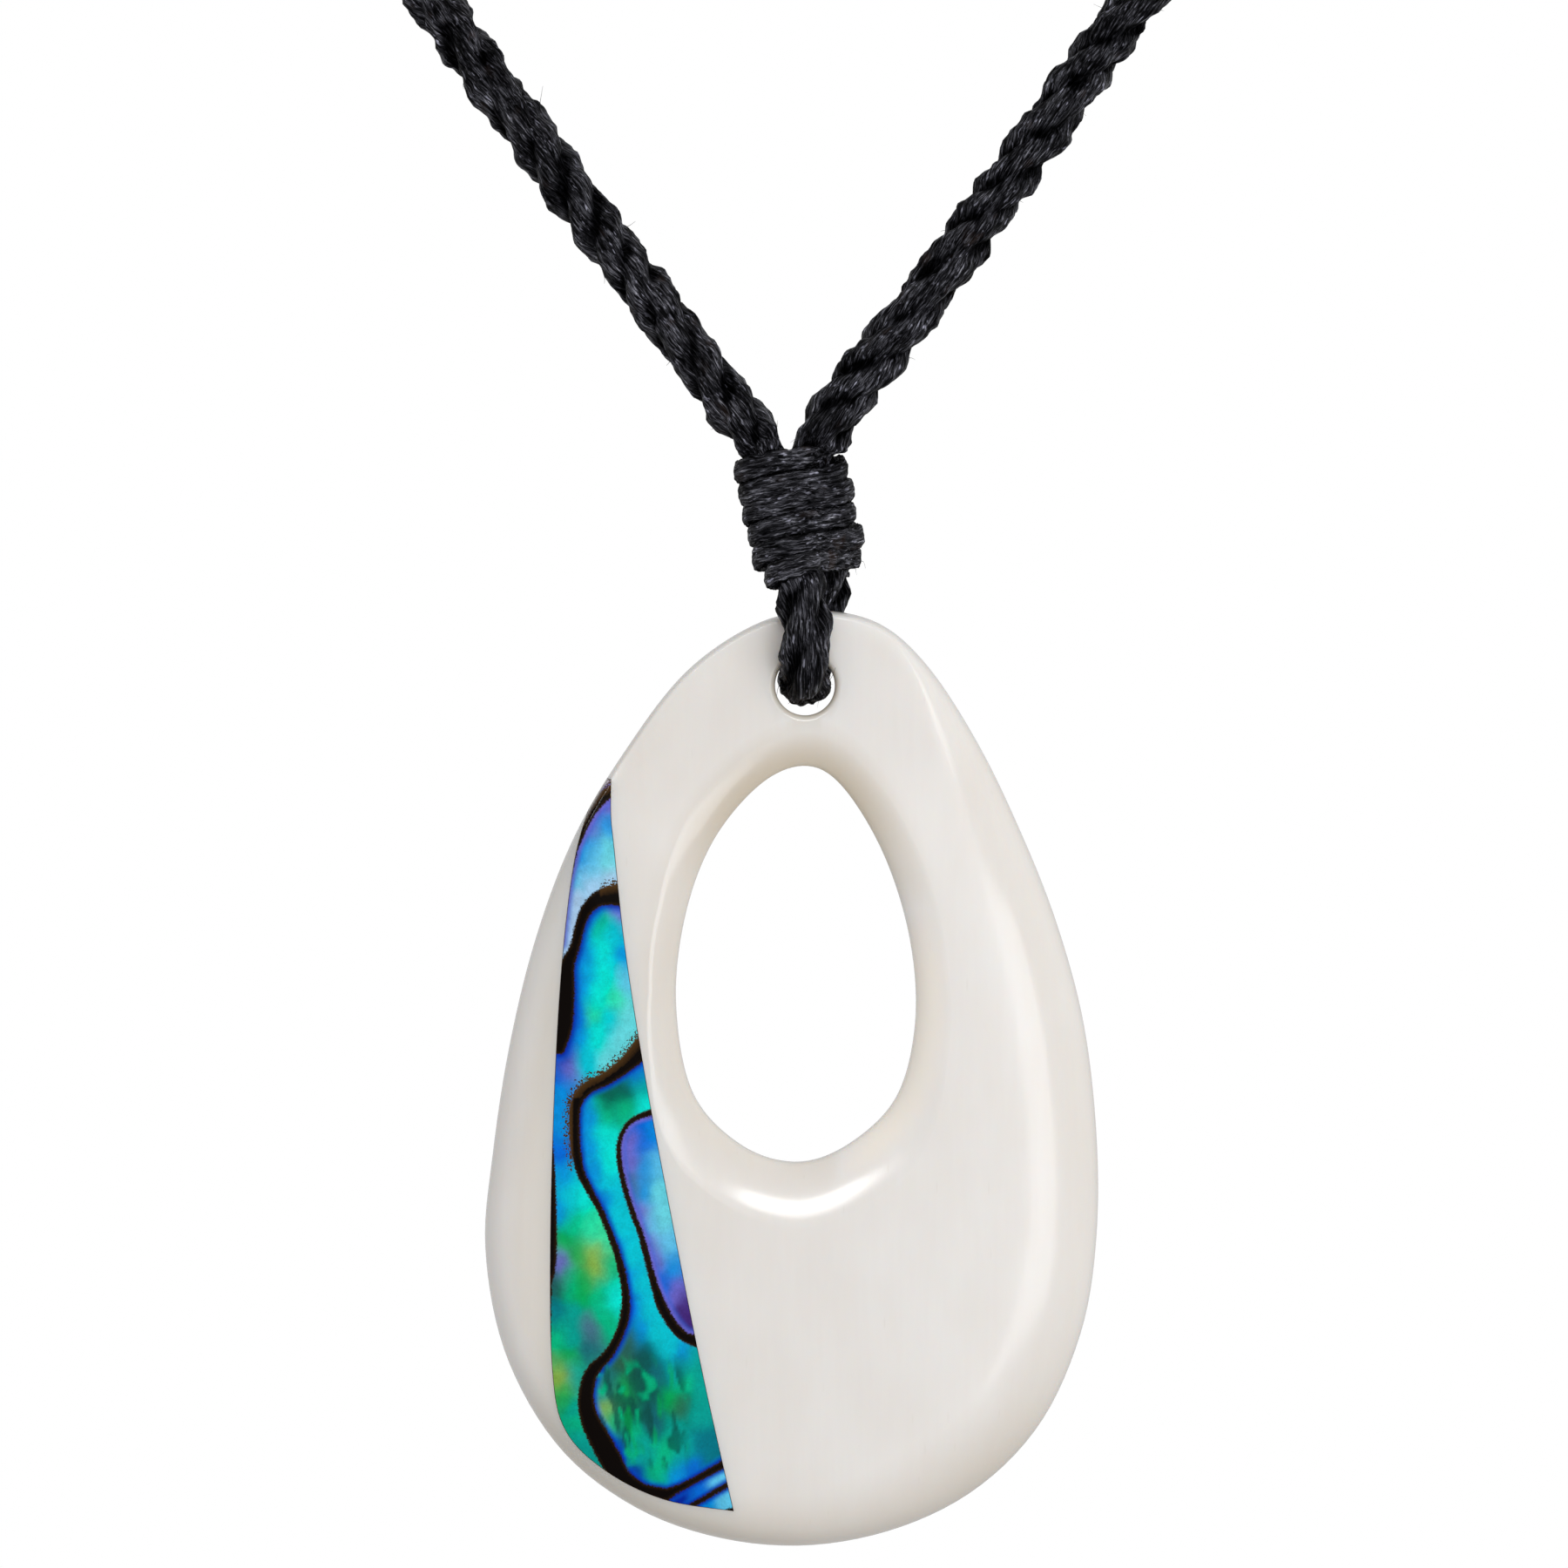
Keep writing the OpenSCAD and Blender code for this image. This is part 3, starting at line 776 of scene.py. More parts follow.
# Bands of the shell between its dark growth lines: x, z and colour of the spots in each.
BANDS = {
    "cap": [
        (-10.4, -4.9, "pearl"), (-11.2, -5.6, "pearl"), (-12, -6.6, "mauve"),
    ],
    "top": [
        (-10.6, -6.5, "violet"), (-11.4, -7.5, "violet"), (-10.6, -7.6, "azure"),
        (-10.6, -8.6, "shallow"), (-11.3, -8.8, "sky"), (-11.5, -8.4, "azure"),
        (-12, -9.2, "azure"), (-10.5, -9.6, "shallow"), (-11.3, -9.8, "sky"),
        (-10.3, -10.4, "pale"), (-11.4, -10.5, "pale"), (-12.2, -10.4, "sky"),
        (-12.2, -11.4, "pale"), (-12.6, -13, "pale"),
    ],
    "outer": [
        (-11.3, -12.1, "azure"), (-10.9, -12.7, "green"), (-10, -12.3, "violet"),
        (-10.2, -13.2, "aqua"), (-9.8, -14.2, "azure"), (-10.9, -14, "turquoise"),
        (-11.7, -14.2, "azure"), (-10.6, -15.4, "turquoise"), (-9.5, -15.8, "sky"),
        (-11.8, -16, "azure"), (-11, -16.4, "turquoise"), (-10.1, -16.8, "mint"),
        (-9.5, -17.4, "shallow"), (-11.3, -17.6, "mint"), (-12, -17.8, "blue"),
        (-10.4, -18, "aqua"), (-9.8, -18.8, "shallow"), (-11.2, -19, "turquoise"),
        (-10.6, -19.8, "shallow"), (-12.1, -19, "azure"), (-11.7, -20.2, "aqua"),
        (-12.8, -19.8, "navy"), (-12.5, -20.4, "violet"), (-13.2, -20.8, "blue"),
        (-13, -22, "azure"), (-13.1, -23.4, "azure"), (-13.1, -25, "blue"), (-12.7, -26, "azure"),
        (-12.3, -26.4, "aqua"), (-11.8, -27.3, "turquoise"), (-12.5, -27.4, "aqua"),
        (-13.1, -28, "azure"), (-11.5, -28.4, "mint"), (-12.3, -28.6, "green"),
        (-12.8, -29.6, "leaf"), (-11.3, -29.2, "mint"), (-10.7, -29.6, "mint"),
        (-11.2, -30.2, "olive"), (-12, -30.4, "leaf"), (-11.25, -31, "olive"),
        (-10.5, -31, "green"), (-13.1, -31, "violet"), (-11.9, -31.8, "leaf"),
        (-13.2, -32, "bottle"), (-10.2, -32.7, "turquoise"), (-11, -32.6, "green"),
        (-12.5, -32, "green"), (-11.9, -32.6, "leaf"), (-13.2, -33.4, "slate"),
        (-12.3, -33.4, "teal"), (-10.6, -33.9, "green"), (-11.5, -34.4, "mauve"),
        (-12.4, -34.8, "teal"), (-13.2, -35, "green"), (-11.7, -35.4, "deep"),
        (-12.6, -35.9, "leaf"), (-13, -37, "olive"), (-12.3, -36.8, "teal"),
        (-12.9, -37.9, "leaf"), (-12.3, -38.6, "teal"), (-12.2, -39.4, "green"),
        (-12, -40.3, "teal"), (-11.4, -41.2, "teal"),
    ],
    "inner": [
        (-8.9, -20.5, "blue"), (-8.7, -21.4, "teal"), (-9.6, -21.8, "bottle"),
        (-8.5, -22.2, "turquoise"), (-10.4, -22.1, "bottle"), (-9.6, -22.6, "green"),
        (-10.7, -22.9, "green"), (-11.6, -23.2, "azure"), (-10.6, -24, "turquoise"),
        (-11.7, -24.6, "azure"), (-10.5, -25.4, "turquoise"), (-11.3, -26, "azure"),
        (-10.5, -26.8, "aqua"), (-10.8, -27.6, "blue"), (-10, -28, "aqua"), (-9.7, -29.2, "aqua"),
        (-10.1, -30, "azure"), (-9.2, -30.4, "aqua"), (-9.5, -31.6, "azure"), (-8.8, -32, "aqua"),
        (-9.3, -33, "blue"), (-8.4, -33.4, "aqua"), (-8.8, -34.4, "azure"), (-7.9, -34.6, "aqua"),
        (-7.2, -35.3, "aqua"), (-6.6, -35.7, "azure"), (-5.8, -36, "teal"), (-9.4, -34.9, "moss"),
        (-8.5, -35.8, "bottle"), (-9.8, -36.2, "moss"), (-7.7, -36.6, "deep"),
        (-6.9, -36.5, "teal"), (-6.4, -37.2, "green"), (-5.6, -37.4, "teal"),
        (-9, -36.9, "bottle"), (-10.4, -37.2, "deep"), (-9.8, -37.8, "leaf"),
        (-8.5, -38, "bottle"), (-8.2, -38.8, "deep"), (-7.2, -38.2, "leaf"),
        (-6.6, -38.6, "moss"), (-10.6, -38.5, "olive"), (-9.6, -38.9, "bottle"),
        (-10.7, -37.9, "teal"), (-10.2, -39.1, "green"), (-5.6, -39, "teal"), (-8, -39.4, "deep"),
        (-9.2, -40, "green"), (-6.8, -39.8, "teal"), (-5.3, -40.6, "slate"),
        (-4.9, -40.3, "slate"), (-8.6, -41, "teal"), (-9.8, -40.8, "navy"),
        (-7.4, -40.8, "green"), (-6.4, -41, "teal"), (-9.1, -42, "navy"), (-7.8, -41.9, "green"),
        (-6.9, -42.3, "azure"), (-6, -41.9, "blue"), (-5, -41.1, "slate"),
    ],
    "heart": [
        (-8.7, -23.5, "blue"), (-8.1, -23.8, "azure"), (-9.4, -24.4, "violet"),
        (-8.5, -24.6, "blue"), (-9.2, -25.6, "violet"), (-8.5, -25.8, "azure"),
        (-8, -25.6, "sky"), (-9.3, -26.8, "mauve"), (-8.6, -27, "azure"), (-7.9, -27, "shallow"),
        (-7.6, -28.4, "shallow"), (-8.7, -28.3, "violet"), (-8.1, -28.8, "sky"),
        (-8.3, -29.6, "violet"), (-7.4, -30, "sky"), (-8, -30.8, "violet"), (-7.2, -31, "azure"),
        (-7.5, -31.8, "blue"), (-6.9, -32.4, "violet"), (-6.6, -33.3, "purple"),
        (-6.3, -34.1, "purple"),
    ],
    "foot": [
        (-6.6, -43.4, "navy"), (-5.6, -42.8, "blue"), (-4.7, -42.3, "sky"),
        (-5.2, -43.7, "azure"), (-4.3, -43.4, "sky"),
    ],
}
# The lines that shade into their band through blue or violet; the other sides are crisp.
FRINGES = {
    "cap": ("violet", 0.15, ["tip"]), "top": ("violet", 0.3, ["tip"]),
    "outer": ("navy", 0.4, ["high"]),
    "inner": ("navy", 0.26, ["middle", "foot"]), "heart": ("violet", 0.3, ["heart"]),
    "foot": ("navy", 0.25, ["foot", "stripe"]),
}
# The dark lines: x, z and half the width.
GROWTH_LINES = {
    "tip": [(-10.1, -5.5, 0.32), (-10.8, -6, 0.3), (-11.4, -6.7, 0.3), (-11.85, -7.6, 0.24),
            (-12.15, -8.5, 0.14), (-12.35, -9.4, 0.08), (-12.65, -11, 0.05), (-13, -13.8, 0.05)],
    "high": [(-9.5, -11.2, 0.62), (-10.8, -11.3, 0.45), (-11.6, -11.9, 0.34),
             (-12, -12.8, 0.28), (-12.3, -14, 0.28), (-12.7, -15, 0.4), (-12.8, -16.5, 0.5),
             (-12.9, -18.2, 0.5), (-13.1, -19.4, 0.3)],
    "middle": [(-8.4, -19.1, 0.6), (-9.5, -20.2, 0.42), (-10.6, -21, 0.34), (-11.6, -21.5, 0.32),
               (-12.2, -22.3, 0.3), (-12.3, -23.5, 0.28), (-12.2, -25, 0.27),
               (-11.9, -26.2, 0.22), (-11, -27.9, 0.17), (-10.4, -29.3, 0.17),
               (-9.9, -30.8, 0.2), (-9.6, -32.3, 0.22), (-9.6, -33.5, 0.26),
               (-9.9, -34.6, 0.24), (-10.5, -35.7, 0.27), (-11.4, -36.7, 0.36),
               (-11.7, -38, 0.42), (-11.5, -39.2, 0.5), (-11, -40.2, 0.58), (-10.4, -41.3, 0.6),
               (-9.8, -42.3, 0.52), (-8.7, -43, 0.4), (-7.4, -43.2, 0.34)],
    "heart": [(-7.9, -22.7, 0.2), (-9.2, -23.2, 0.14), (-9.8, -24, 0.13), (-9.95, -25, 0.14),
              (-9.75, -26.3, 0.15), (-9.3, -27.9, 0.15), (-8.8, -29.2, 0.16),
              (-8.45, -30.5, 0.18), (-8.1, -31.8, 0.2), (-7.7, -33, 0.27), (-7.1, -34.1, 0.28),
              (-6.4, -34.8, 0.28), (-5.7, -35, 0.36)],
    "foot": [(-7.4, -43.2, 0.3), (-6.2, -42.6, 0.18), (-4.2, -41.5, 0.22)],
    "stripe": [(-6.2, -43.9, 0.14), (-4, -42.6, 0.14)],
    "corner": [(-4.2, -44.1, 0.1), (-3.7, -44.1, 0.25)],
    "edge": [(-13.6, -23.5, 0.04), (-13.6, -25.5, 0.24), (-13.6, -28, 0.34), (-13.6, -30, 0.36),
             (-13.6, -31.2, 0.28), (-13.6, -32.4, 0.08), (-13.6, -36, 0.03)],
}


def linear(colour):
    """A hex colour as screens show it, turned into linear light."""
    parts = [int(colour[i:i + 2], 16) / 255 for i in (1, 3, 5)]
    return [p / 12.92 if p <= 0.04045 else ((p + 0.055) / 1.055)**2.4 for p in parts]


# Further off than anything on the drop.
FAR = 99.0


def line_offset(x, z, line):
    """How far each place lies outside a dark line, less than 0 within it."""
    points = curve_through(line, steps=4)
    nearest = np.full(x.shape, FAR)
    for a, b in zip(points[:-1], points[1:]):
        step = b[:2] - a[:2]
        t = np.clip(((x - a[0]) * step[0] + (z - a[1]) * step[1]) / step.dot(step), 0, 1)
        away = np.hypot(x - a[0] - t * step[0], z - a[1] - t * step[1])
        nearest = np.minimum(nearest, away - (a[2] + (b[2] - a[2]) * t))
    return nearest


def line_x(z, line):
    """x of a growth line at each height."""
    table = np.array(line)[::-1]
    return np.interp(z, table[:, 1], table[:, 0])


def band_of(x, z):
    """Which band of the shell each place belongs to."""
    above_high = (z > GROWTH_LINES["high"][0][1]) | (
        (z > GROWTH_LINES["high"][-1][1]) & (x < line_x(z, GROWTH_LINES["high"])))
    inside_middle = (z < GROWTH_LINES["middle"][0][1]) & (x > line_x(z, GROWTH_LINES["middle"]))
    heart = GROWTH_LINES["heart"]
    in_heart = (z < heart[0][1]) & (z > heart[-1][1]) & (x > line_x(z, heart))
    foot = np.array(GROWTH_LINES["foot"])
    below_foot = z < np.interp(x, foot[:, 0], foot[:, 1])
    tip = np.array(GROWTH_LINES["tip"])[::-1]
    above_tip = z > np.interp(x, tip[:, 0], tip[:, 1])
    names = np.full(x.shape, "outer", dtype="U8")
    names[above_high] = "top"
    names[above_high & above_tip & (z > -7.5)] = "cap"
    names[inside_middle] = "inner"
    names[in_heart] = "heart"
    names[below_foot & (x > -7.4)] = "foot"
    return names


def noise_at(x, z, size, seed):
    return np.array([noise.noise(Vector((a / size, b / size, seed))) for a, b in zip(x, z)])


def mixed(colour, name, share):
    """The colours with this share of a named shell colour in them."""
    return colour * (1 - share[:, None]) + np.array(linear(SHELL_COLOURS[name])) * share[:, None]


# How the colours stray across and along the shell: how far, over patches of what size, and seed.
STRAYS_X = [(0.16, 0.9, 1.3), (0.05, 0.3, 6.1)]
STRAYS_Z = [(0.35, 1.1, 4.9), (0.12, 0.35, 2.2)]
# A spot reaches further along the shell than across it. It is blunt within its core, in square
# millimetres, and fades with this power beyond it.
SPOT_SQUASH = 0.55
SPOT_CORE = 0.4
SPOT_FADE = 2.6
# The fringe of a line: the share of its colour at the line, and of the blue that goes before it,
# with the blue's reach as shares of the fringe's width.
FRINGE_SHARE = 0.85
BLUE_SHARE = 0.6
BLUE_REACH = (0.3, 1.5)
# The streaked part near the foot: where it fades out above, below and to the right.
STREAKS_TOP = (-37, -35.4)
STREAKS_LOW = (-42.6, -41)
STREAKS_RIGHT = (-6.8, -6)
STREAK_WIDTH = 0.42
STREAK_LEAN = 0.12
STREAK_LENGTH = 1.5
LEAF_LENGTH = 1.6
# Specks lie at the lines within these two distances, thickest at the nearer one.
SPECK_REACH = (0.05, 0.75)


def streaked(colour, x, z, bands):
    """Dark and yellow-green streaks and green veins, which run down to the foot of the shell."""
    low = (bands == "inner") * (1 - smooth(*STREAKS_TOP, z)) * smooth(*STREAKS_LOW, z)
    low = low * (1 - smooth(*STREAKS_RIGHT, x))
    lean = (x + STREAK_LEAN * z) / STREAK_WIDTH
    dark = smooth(0.08, 0.32, noise_at(lean, z / STREAK_LENGTH, 1, seed=5.4))
    leaf = smooth(0.2, 0.5, noise_at(lean, z / LEAF_LENGTH, 1, seed=9.9))
    vein = 1 - smooth(0.03, 0.12, np.abs(noise_at(x + 0.2 * z, z * 0.5, 1.3, seed=7.7)))
    patch = smooth(-0.1, 0.2, noise_at(x, z, 0.8, seed=3.1))
    colour = mixed(colour, "bottle", 0.75 * low * dark)
    colour = mixed(colour, "leaf", 0.5 * low * leaf)
    return mixed(colour, "green", 0.75 * low * vein * patch)


def paint_shell(x, z):
    """Colour of the shell at each place, in bands of shifting colour between dark growth lines;
    how far each place lies outside those lines; and where black specks have settled."""
    drift_x, drift_z = x, z
    for far, size, seed in STRAYS_X:
        drift_x = drift_x + far * noise_at(x, z, size, seed)
    for far, size, seed in STRAYS_Z:
        drift_z = drift_z + far * noise_at(x, z, size, seed)
    bands = band_of(x, z)
    offsets = {name: line_offset(x, z, line) for name, line in GROWTH_LINES.items()}
    colour = np.zeros((len(x), 3))
    for band, spots in BANDS.items():
        inside = bands == band
        total = np.zeros((inside.sum(), 1))
        sum_of = np.zeros((inside.sum(), 3))
        for spot_x, spot_z, name in spots:
            across, along = drift_x[inside] - spot_x, drift_z[inside] - spot_z
            away = across**2 + SPOT_SQUASH * along**2
            weight = 1 / (away[:, None] + SPOT_CORE)**SPOT_FADE
            sum_of += weight * np.array(linear(SHELL_COLOURS[name]))
            total += weight
        painted = sum_of / total
        name, width, lines = FRINGES[band]
        near = np.min([offsets[line][inside] for line in lines], axis=0)
        blue_from, blue_to = (width * share for share in BLUE_REACH)
        painted = mixed(painted, "blue", BLUE_SHARE * (1 - smooth(blue_from, blue_to, near)))
        colour[inside] = mixed(painted, name, FRINGE_SHARE * (1 - smooth(0, width, near)))
    colour = streaked(colour, x, z, bands)
    # Specks lie on the crisp side of the middle line, above the high one and over the tip.
    speckled = {"middle": (bands == "outer") & ((z > -22) | ((x < -12.4) & (z > -26))),
                "high": (bands == "top") & (x > -11), "tip": bands == "cap"}
    beside = np.min([np.where(there, offsets[line], FAR) for line, there in speckled.items()],
                    axis=0)
    return colour, np.min(list(offsets.values()), axis=0), 1 - smooth(*SPECK_REACH, beside)


SHELL_STEP = 0.11
# The sheet of the shell starts this much larger than its outline, and is never thinner than this.
SHEET_MARGIN = 0.3
LEAST_SHELL = 0.03
# The shell keeps this far inside the drop's outline.
SHELL_MARGIN = 0.05


def make_shell_inlay(blank):
    """The shell, flush with the bone, dense enough to carry its pattern of colour."""
    outline = within_drop(inset(inlay_outline(), INLAY_GAP), SHELL_MARGIN)
    low, high = outline.min(axis=0) - SHEET_MARGIN, outline.max(axis=0) + SHEET_MARGIN
    width, height = high - low
    middle = (low + high) / 2
    bpy.ops.object.select_all(action="DESELECT")
    bpy.ops.mesh.primitive_grid_add(
        x_subdivisions=round(width / SHELL_STEP), y_subdivisions=round(height / SHELL_STEP),
        size=1, location=in_metres(HOLE + [middle[0], -DROP_T, middle[1]]),
        rotation=(math.radians(90), 0, 0))
    shell = bpy.context.active_object
    shell.name = shell.data.name = "shell_slip"
    shell.scale = (width * MM, height * MM, 1)
    bpy.ops.object.transform_apply(location=True, rotation=True, scale=True)
    apply_modifier(shell, "SHRINKWRAP", target=blank, wrap_method="PROJECT",
                   use_project_y=True, use_project_x=False, use_project_z=False,
                   use_positive_direction=True, use_negative_direction=False)
    # Beside the drop, and where its edge curves away behind the shell, the sheet stops short of
    # the pocket's floor.
    floor = INLAY_FLOOR - INLAY_GAP
    front = points_of(shell) / MM - HOLE
    missed = front[:, 1] < -DROP_T / 2 - 0.1
    front[missed, 1] = floor
    front[:, 1] = np.minimum(front[:, 1], floor - LEAST_SHELL)
    set_points(shell, (front + HOLE) * MM)
    bpy.ops.object.mode_set(mode="EDIT")
    bpy.ops.mesh.select_all(action="SELECT")
    bpy.ops.mesh.region_to_loop()
    # The rim is drawn back, and then set level with the pocket's floor.
    bpy.ops.mesh.extrude_edges_move(TRANSFORM_OT_translate={"value": (0, INLAY_T * MM, 0)})
    bpy.ops.object.mode_set(mode="OBJECT")
    back = np.zeros(len(shell.data.vertices), bool)
    shell.data.vertices.foreach_get("select", back)
    whole = points_of(shell)
    whole[back, 1] = (HOLE[1] + floor) * MM
    set_points(shell, whole)
    bpy.ops.object.mode_set(mode="EDIT")
    bpy.ops.mesh.edge_face_add()
    bpy.ops.mesh.select_all(action="SELECT")
    bpy.ops.mesh.normals_make_consistent(inside=False)
    bpy.ops.object.mode_set(mode="OBJECT")
    trimmer = make_outline_block("shell_trimmer", outline, -DROP_T - 1, DROP_T)
    cut_with(shell, trimmer, "INTERSECT")
    local = points_of(shell) / MM - HOLE
    colours, outside, specked = paint_shell(local[:, 0], local[:, 2])
    add_field(shell, "shell_colour", np.column_stack([colours, np.ones(len(colours))]))
    add_field(shell, "outside_lines", outside)
    add_field(shell, "specked", specked)
    shade_smooth(shell)
    return shell


# Materials.

def add(tree, kind, links=None, stops=None, **settings):
    """Adds a node with its settings; links gives each input a value or another node's output."""
    node = tree.nodes.new(kind)
    for name, value in settings.items():
        setattr(node, name, value)
    for name, source in (links or {}).items():
        if isinstance(source, bpy.types.NodeSocket):
            tree.links.new(source, node.inputs[name])
        else:
            node.inputs[name].default_value = source
    for i, (place, colour) in enumerate(stops or []):
        ramp = node.color_ramp.elements
        stop = ramp[i] if i < len(ramp) else ramp.new(place)
        stop.position = place
        stop.color = (*linear(colour), 1)
    return node


def new_material(name):
    material = bpy.data.materials.new(name)
    material.use_nodes = True
    tree = material.node_tree
    tree.nodes.clear()
    return material, tree


def per_mm(*sizes):
    """Mapping scale for details of these sizes in millimetres, on coordinates in metres."""
    return tuple(1000 / s for s in sizes)


def polished_bone():
    """Beef bone, carved and polished: warm off-white with fine grain down its length, a soft
    gloss, and a little light that sinks in. Rims and openings get painted shade, a shade more tan,
    and the thin rim of the eye a painted glow."""
    material, tree = new_material("polished_bone")
    place = add(tree, "ShaderNodeTexCoord").outputs["Object"]
    grain_place = add(tree, "ShaderNodeMapping", {"Vector": place, "Scale": per_mm(0.4, 0.4, 5)})
    grain = add(tree, "ShaderNodeTexNoise",
                {"Vector": grain_place.outputs["Vector"], "Scale": 1, "Detail": 4,
                 "Roughness": 0.6})
    cloud_place = add(tree, "ShaderNodeMapping", {"Vector": place, "Scale": per_mm(4, 4, 7)})
    cloud = add(tree, "ShaderNodeTexNoise",
                {"Vector": cloud_place.outputs["Vector"], "Scale": 1, "Detail": 2})
    pore_place = add(tree, "ShaderNodeMapping", {"Vector": place, "Scale": per_mm(0.7, 0.7, 4.5)})
    pore = add(tree, "ShaderNodeTexVoronoi", {"Vector": pore_place.outputs["Vector"], "Scale": 1})
    fine = add(tree, "ShaderNodeValToRGB", {"Fac": grain.outputs["Fac"]},
               [(0.3, "#EEEAE6"), (0.7, "#F1EEEA")])
    broad = add(tree, "ShaderNodeValToRGB", {"Fac": cloud.outputs["Fac"]},
                [(0.35, "#EDE8E3"), (0.65, "#F2EFEC")])
    body = add(tree, "ShaderNodeMix",
               {0: 0.5, 6: fine.outputs["Color"], 7: broad.outputs["Color"]}, data_type="RGBA")
    speck = add(tree, "ShaderNodeMapRange",
                {"Value": pore.outputs["Distance"], "From Min": 0.02, "From Max": 0.1,
                 "To Min": 0.2, "To Max": 0})
    specked = add(tree, "ShaderNodeMix",
                  {0: speck.outputs["Result"], 6: body.outputs[2],
                   7: (*linear("#D9D2C9"), 1)}, data_type="RGBA")
    # Painted shade, tan, at the rims and openings, read from the tint stored on the bone.
    painted_shade_glow = add(tree, "ShaderNodeAttribute", attribute_name="painted_shade_glow")
    colour = add(tree, "ShaderNodeMix",
                 {0: painted_shade_glow.outputs["Fac"], 6: specked.outputs[2], 7: (*linear("#D2C7B6"), 1)},
                 data_type="RGBA")
    # Painted light: where the rim of the eye is thin, it is painted lighter and warmer, as if
    # light showed through it.
    thin = add(tree, "ShaderNodeMapRange",
               {"Value": painted_shade_glow.outputs["Fac"], "From Min": 0, "From Max": -1})
    painted_glow = add(tree, "ShaderNodeMix",
                  {0: thin.outputs["Result"], 6: colour.outputs[2], 7: (*linear("#FDF3E8"), 1)},
                  data_type="RGBA")
    bump = add(tree, "ShaderNodeBump",
               {"Height": grain.outputs["Fac"], "Strength": 0.03, "Distance": 0.0001})
    rough = add(tree, "ShaderNodeMapRange",
                {"Value": cloud.outputs["Fac"], "To Min": 0.1, "To Max": 0.17})
    shader = add(tree, "ShaderNodeBsdfPrincipled",
                 {"Base Color": painted_glow.outputs[2], "Roughness": rough.outputs["Result"],
                  "Normal": bump.outputs["Normal"], "IOR": 1.54, "Subsurface Weight": 0.35,
                  "Subsurface Radius": (1, 0.75, 0.55), "Subsurface Scale": 0.0016})
    add(tree, "ShaderNodeOutputMaterial", {"Surface": shader.outputs["BSDF"]})
    return material


def polished_shell():
    """Abalone shell, ground flat and polished: deep wet gloss over colours that come from its
    fine layers, with a faint ripple in them, and brown-black growth lines with ragged rims."""
    material, tree = new_material("polished_shell")
    place = add(tree, "ShaderNodeTexCoord").outputs["Object"]
    ripple_place = add(tree, "ShaderNodeMapping",
                       {"Vector": place, "Scale": per_mm(0.45, 0.45, 0.45)})
    ripple = add(tree, "ShaderNodeTexNoise",
                 {"Vector": ripple_place.outputs["Vector"], "Scale": 1, "Detail": 3,
                  "Distortion": 0.6})
    paint = add(tree, "ShaderNodeAttribute", attribute_name="shell_colour")
    shift = add(tree, "ShaderNodeMapRange",
                {"Value": ripple.outputs["Fac"], "From Min": 0.3, "From Max": 0.7,
                 "To Min": 0.72, "To Max": 0.92})
    grit_place = add(tree, "ShaderNodeMapping",
                     {"Vector": place, "Scale": per_mm(0.1, 0.1, 0.1)})
    grit = add(tree, "ShaderNodeTexNoise",
               {"Vector": grit_place.outputs["Vector"], "Scale": 1, "Detail": 2})
    value = add(tree, "ShaderNodeMath",
                {0: grit.outputs["Fac"], 1: 0.4, 2: shift.outputs["Result"]},
                operation="MULTIPLY_ADD")
    rippled = add(tree, "ShaderNodeHueSaturation",
                  {"Color": paint.outputs["Color"], "Value": value.outputs["Value"],
                   "Saturation": 1.04})
    outside = add(tree, "ShaderNodeAttribute", attribute_name="outside_lines").outputs["Fac"]
    ragged = add(tree, "ShaderNodeMath", {0: grit.outputs["Fac"], 1: 0.22, 2: outside},
                 operation="MULTIPLY_ADD")
    line = add(tree, "ShaderNodeMapRange",
               {"Value": ragged.outputs["Value"], "From Min": 0.07, "From Max": 0.16,
                "To Min": 1, "To Max": 0})
    specked = add(tree, "ShaderNodeAttribute", attribute_name="specked").outputs["Fac"]
    thick = add(tree, "ShaderNodeMath", {0: specked, 1: 0.3, 2: grit.outputs["Fac"]},
                operation="MULTIPLY_ADD")
    speck = add(tree, "ShaderNodeMapRange",
                {"Value": thick.outputs["Value"], "From Min": 0.76, "From Max": 0.8})
    black = add(tree, "ShaderNodeMath", {0: line.outputs["Result"], 1: speck.outputs["Result"]},
                operation="MAXIMUM")
    # The lines have faint brown rims, and deeper and stronger ones on the side of the specks.
    browned = add(tree, "ShaderNodeMath", {0: specked, 1: -0.3, 2: -0.08},
                  operation="MULTIPLY_ADD")
    most = add(tree, "ShaderNodeMath", {0: specked, 1: 0.7, 2: 0.3}, operation="MULTIPLY_ADD")
    rim = add(tree, "ShaderNodeMapRange",
              {"Value": ragged.outputs["Value"], "From Min": browned.outputs["Value"],
               "From Max": 0.1, "To Max": most.outputs["Value"]})
    dark = add(tree, "ShaderNodeMix",
               {0: rim.outputs["Result"], 6: (*linear(SHELL_COLOURS["black"]), 1),
                7: (*linear(SHELL_COLOURS["brown"]), 1)}, data_type="RGBA")
    colour = add(tree, "ShaderNodeMix",
                 {0: black.outputs["Value"], 6: rippled.outputs["Color"], 7: dark.outputs[2]},
                 data_type="RGBA")
    shader = add(tree, "ShaderNodeBsdfPrincipled",
                 {"Base Color": colour.outputs[2], "Roughness": 0.1, "IOR": 1.5})
    add(tree, "ShaderNodeOutputMaterial", {"Surface": shader.outputs["BSDF"]})
    return material


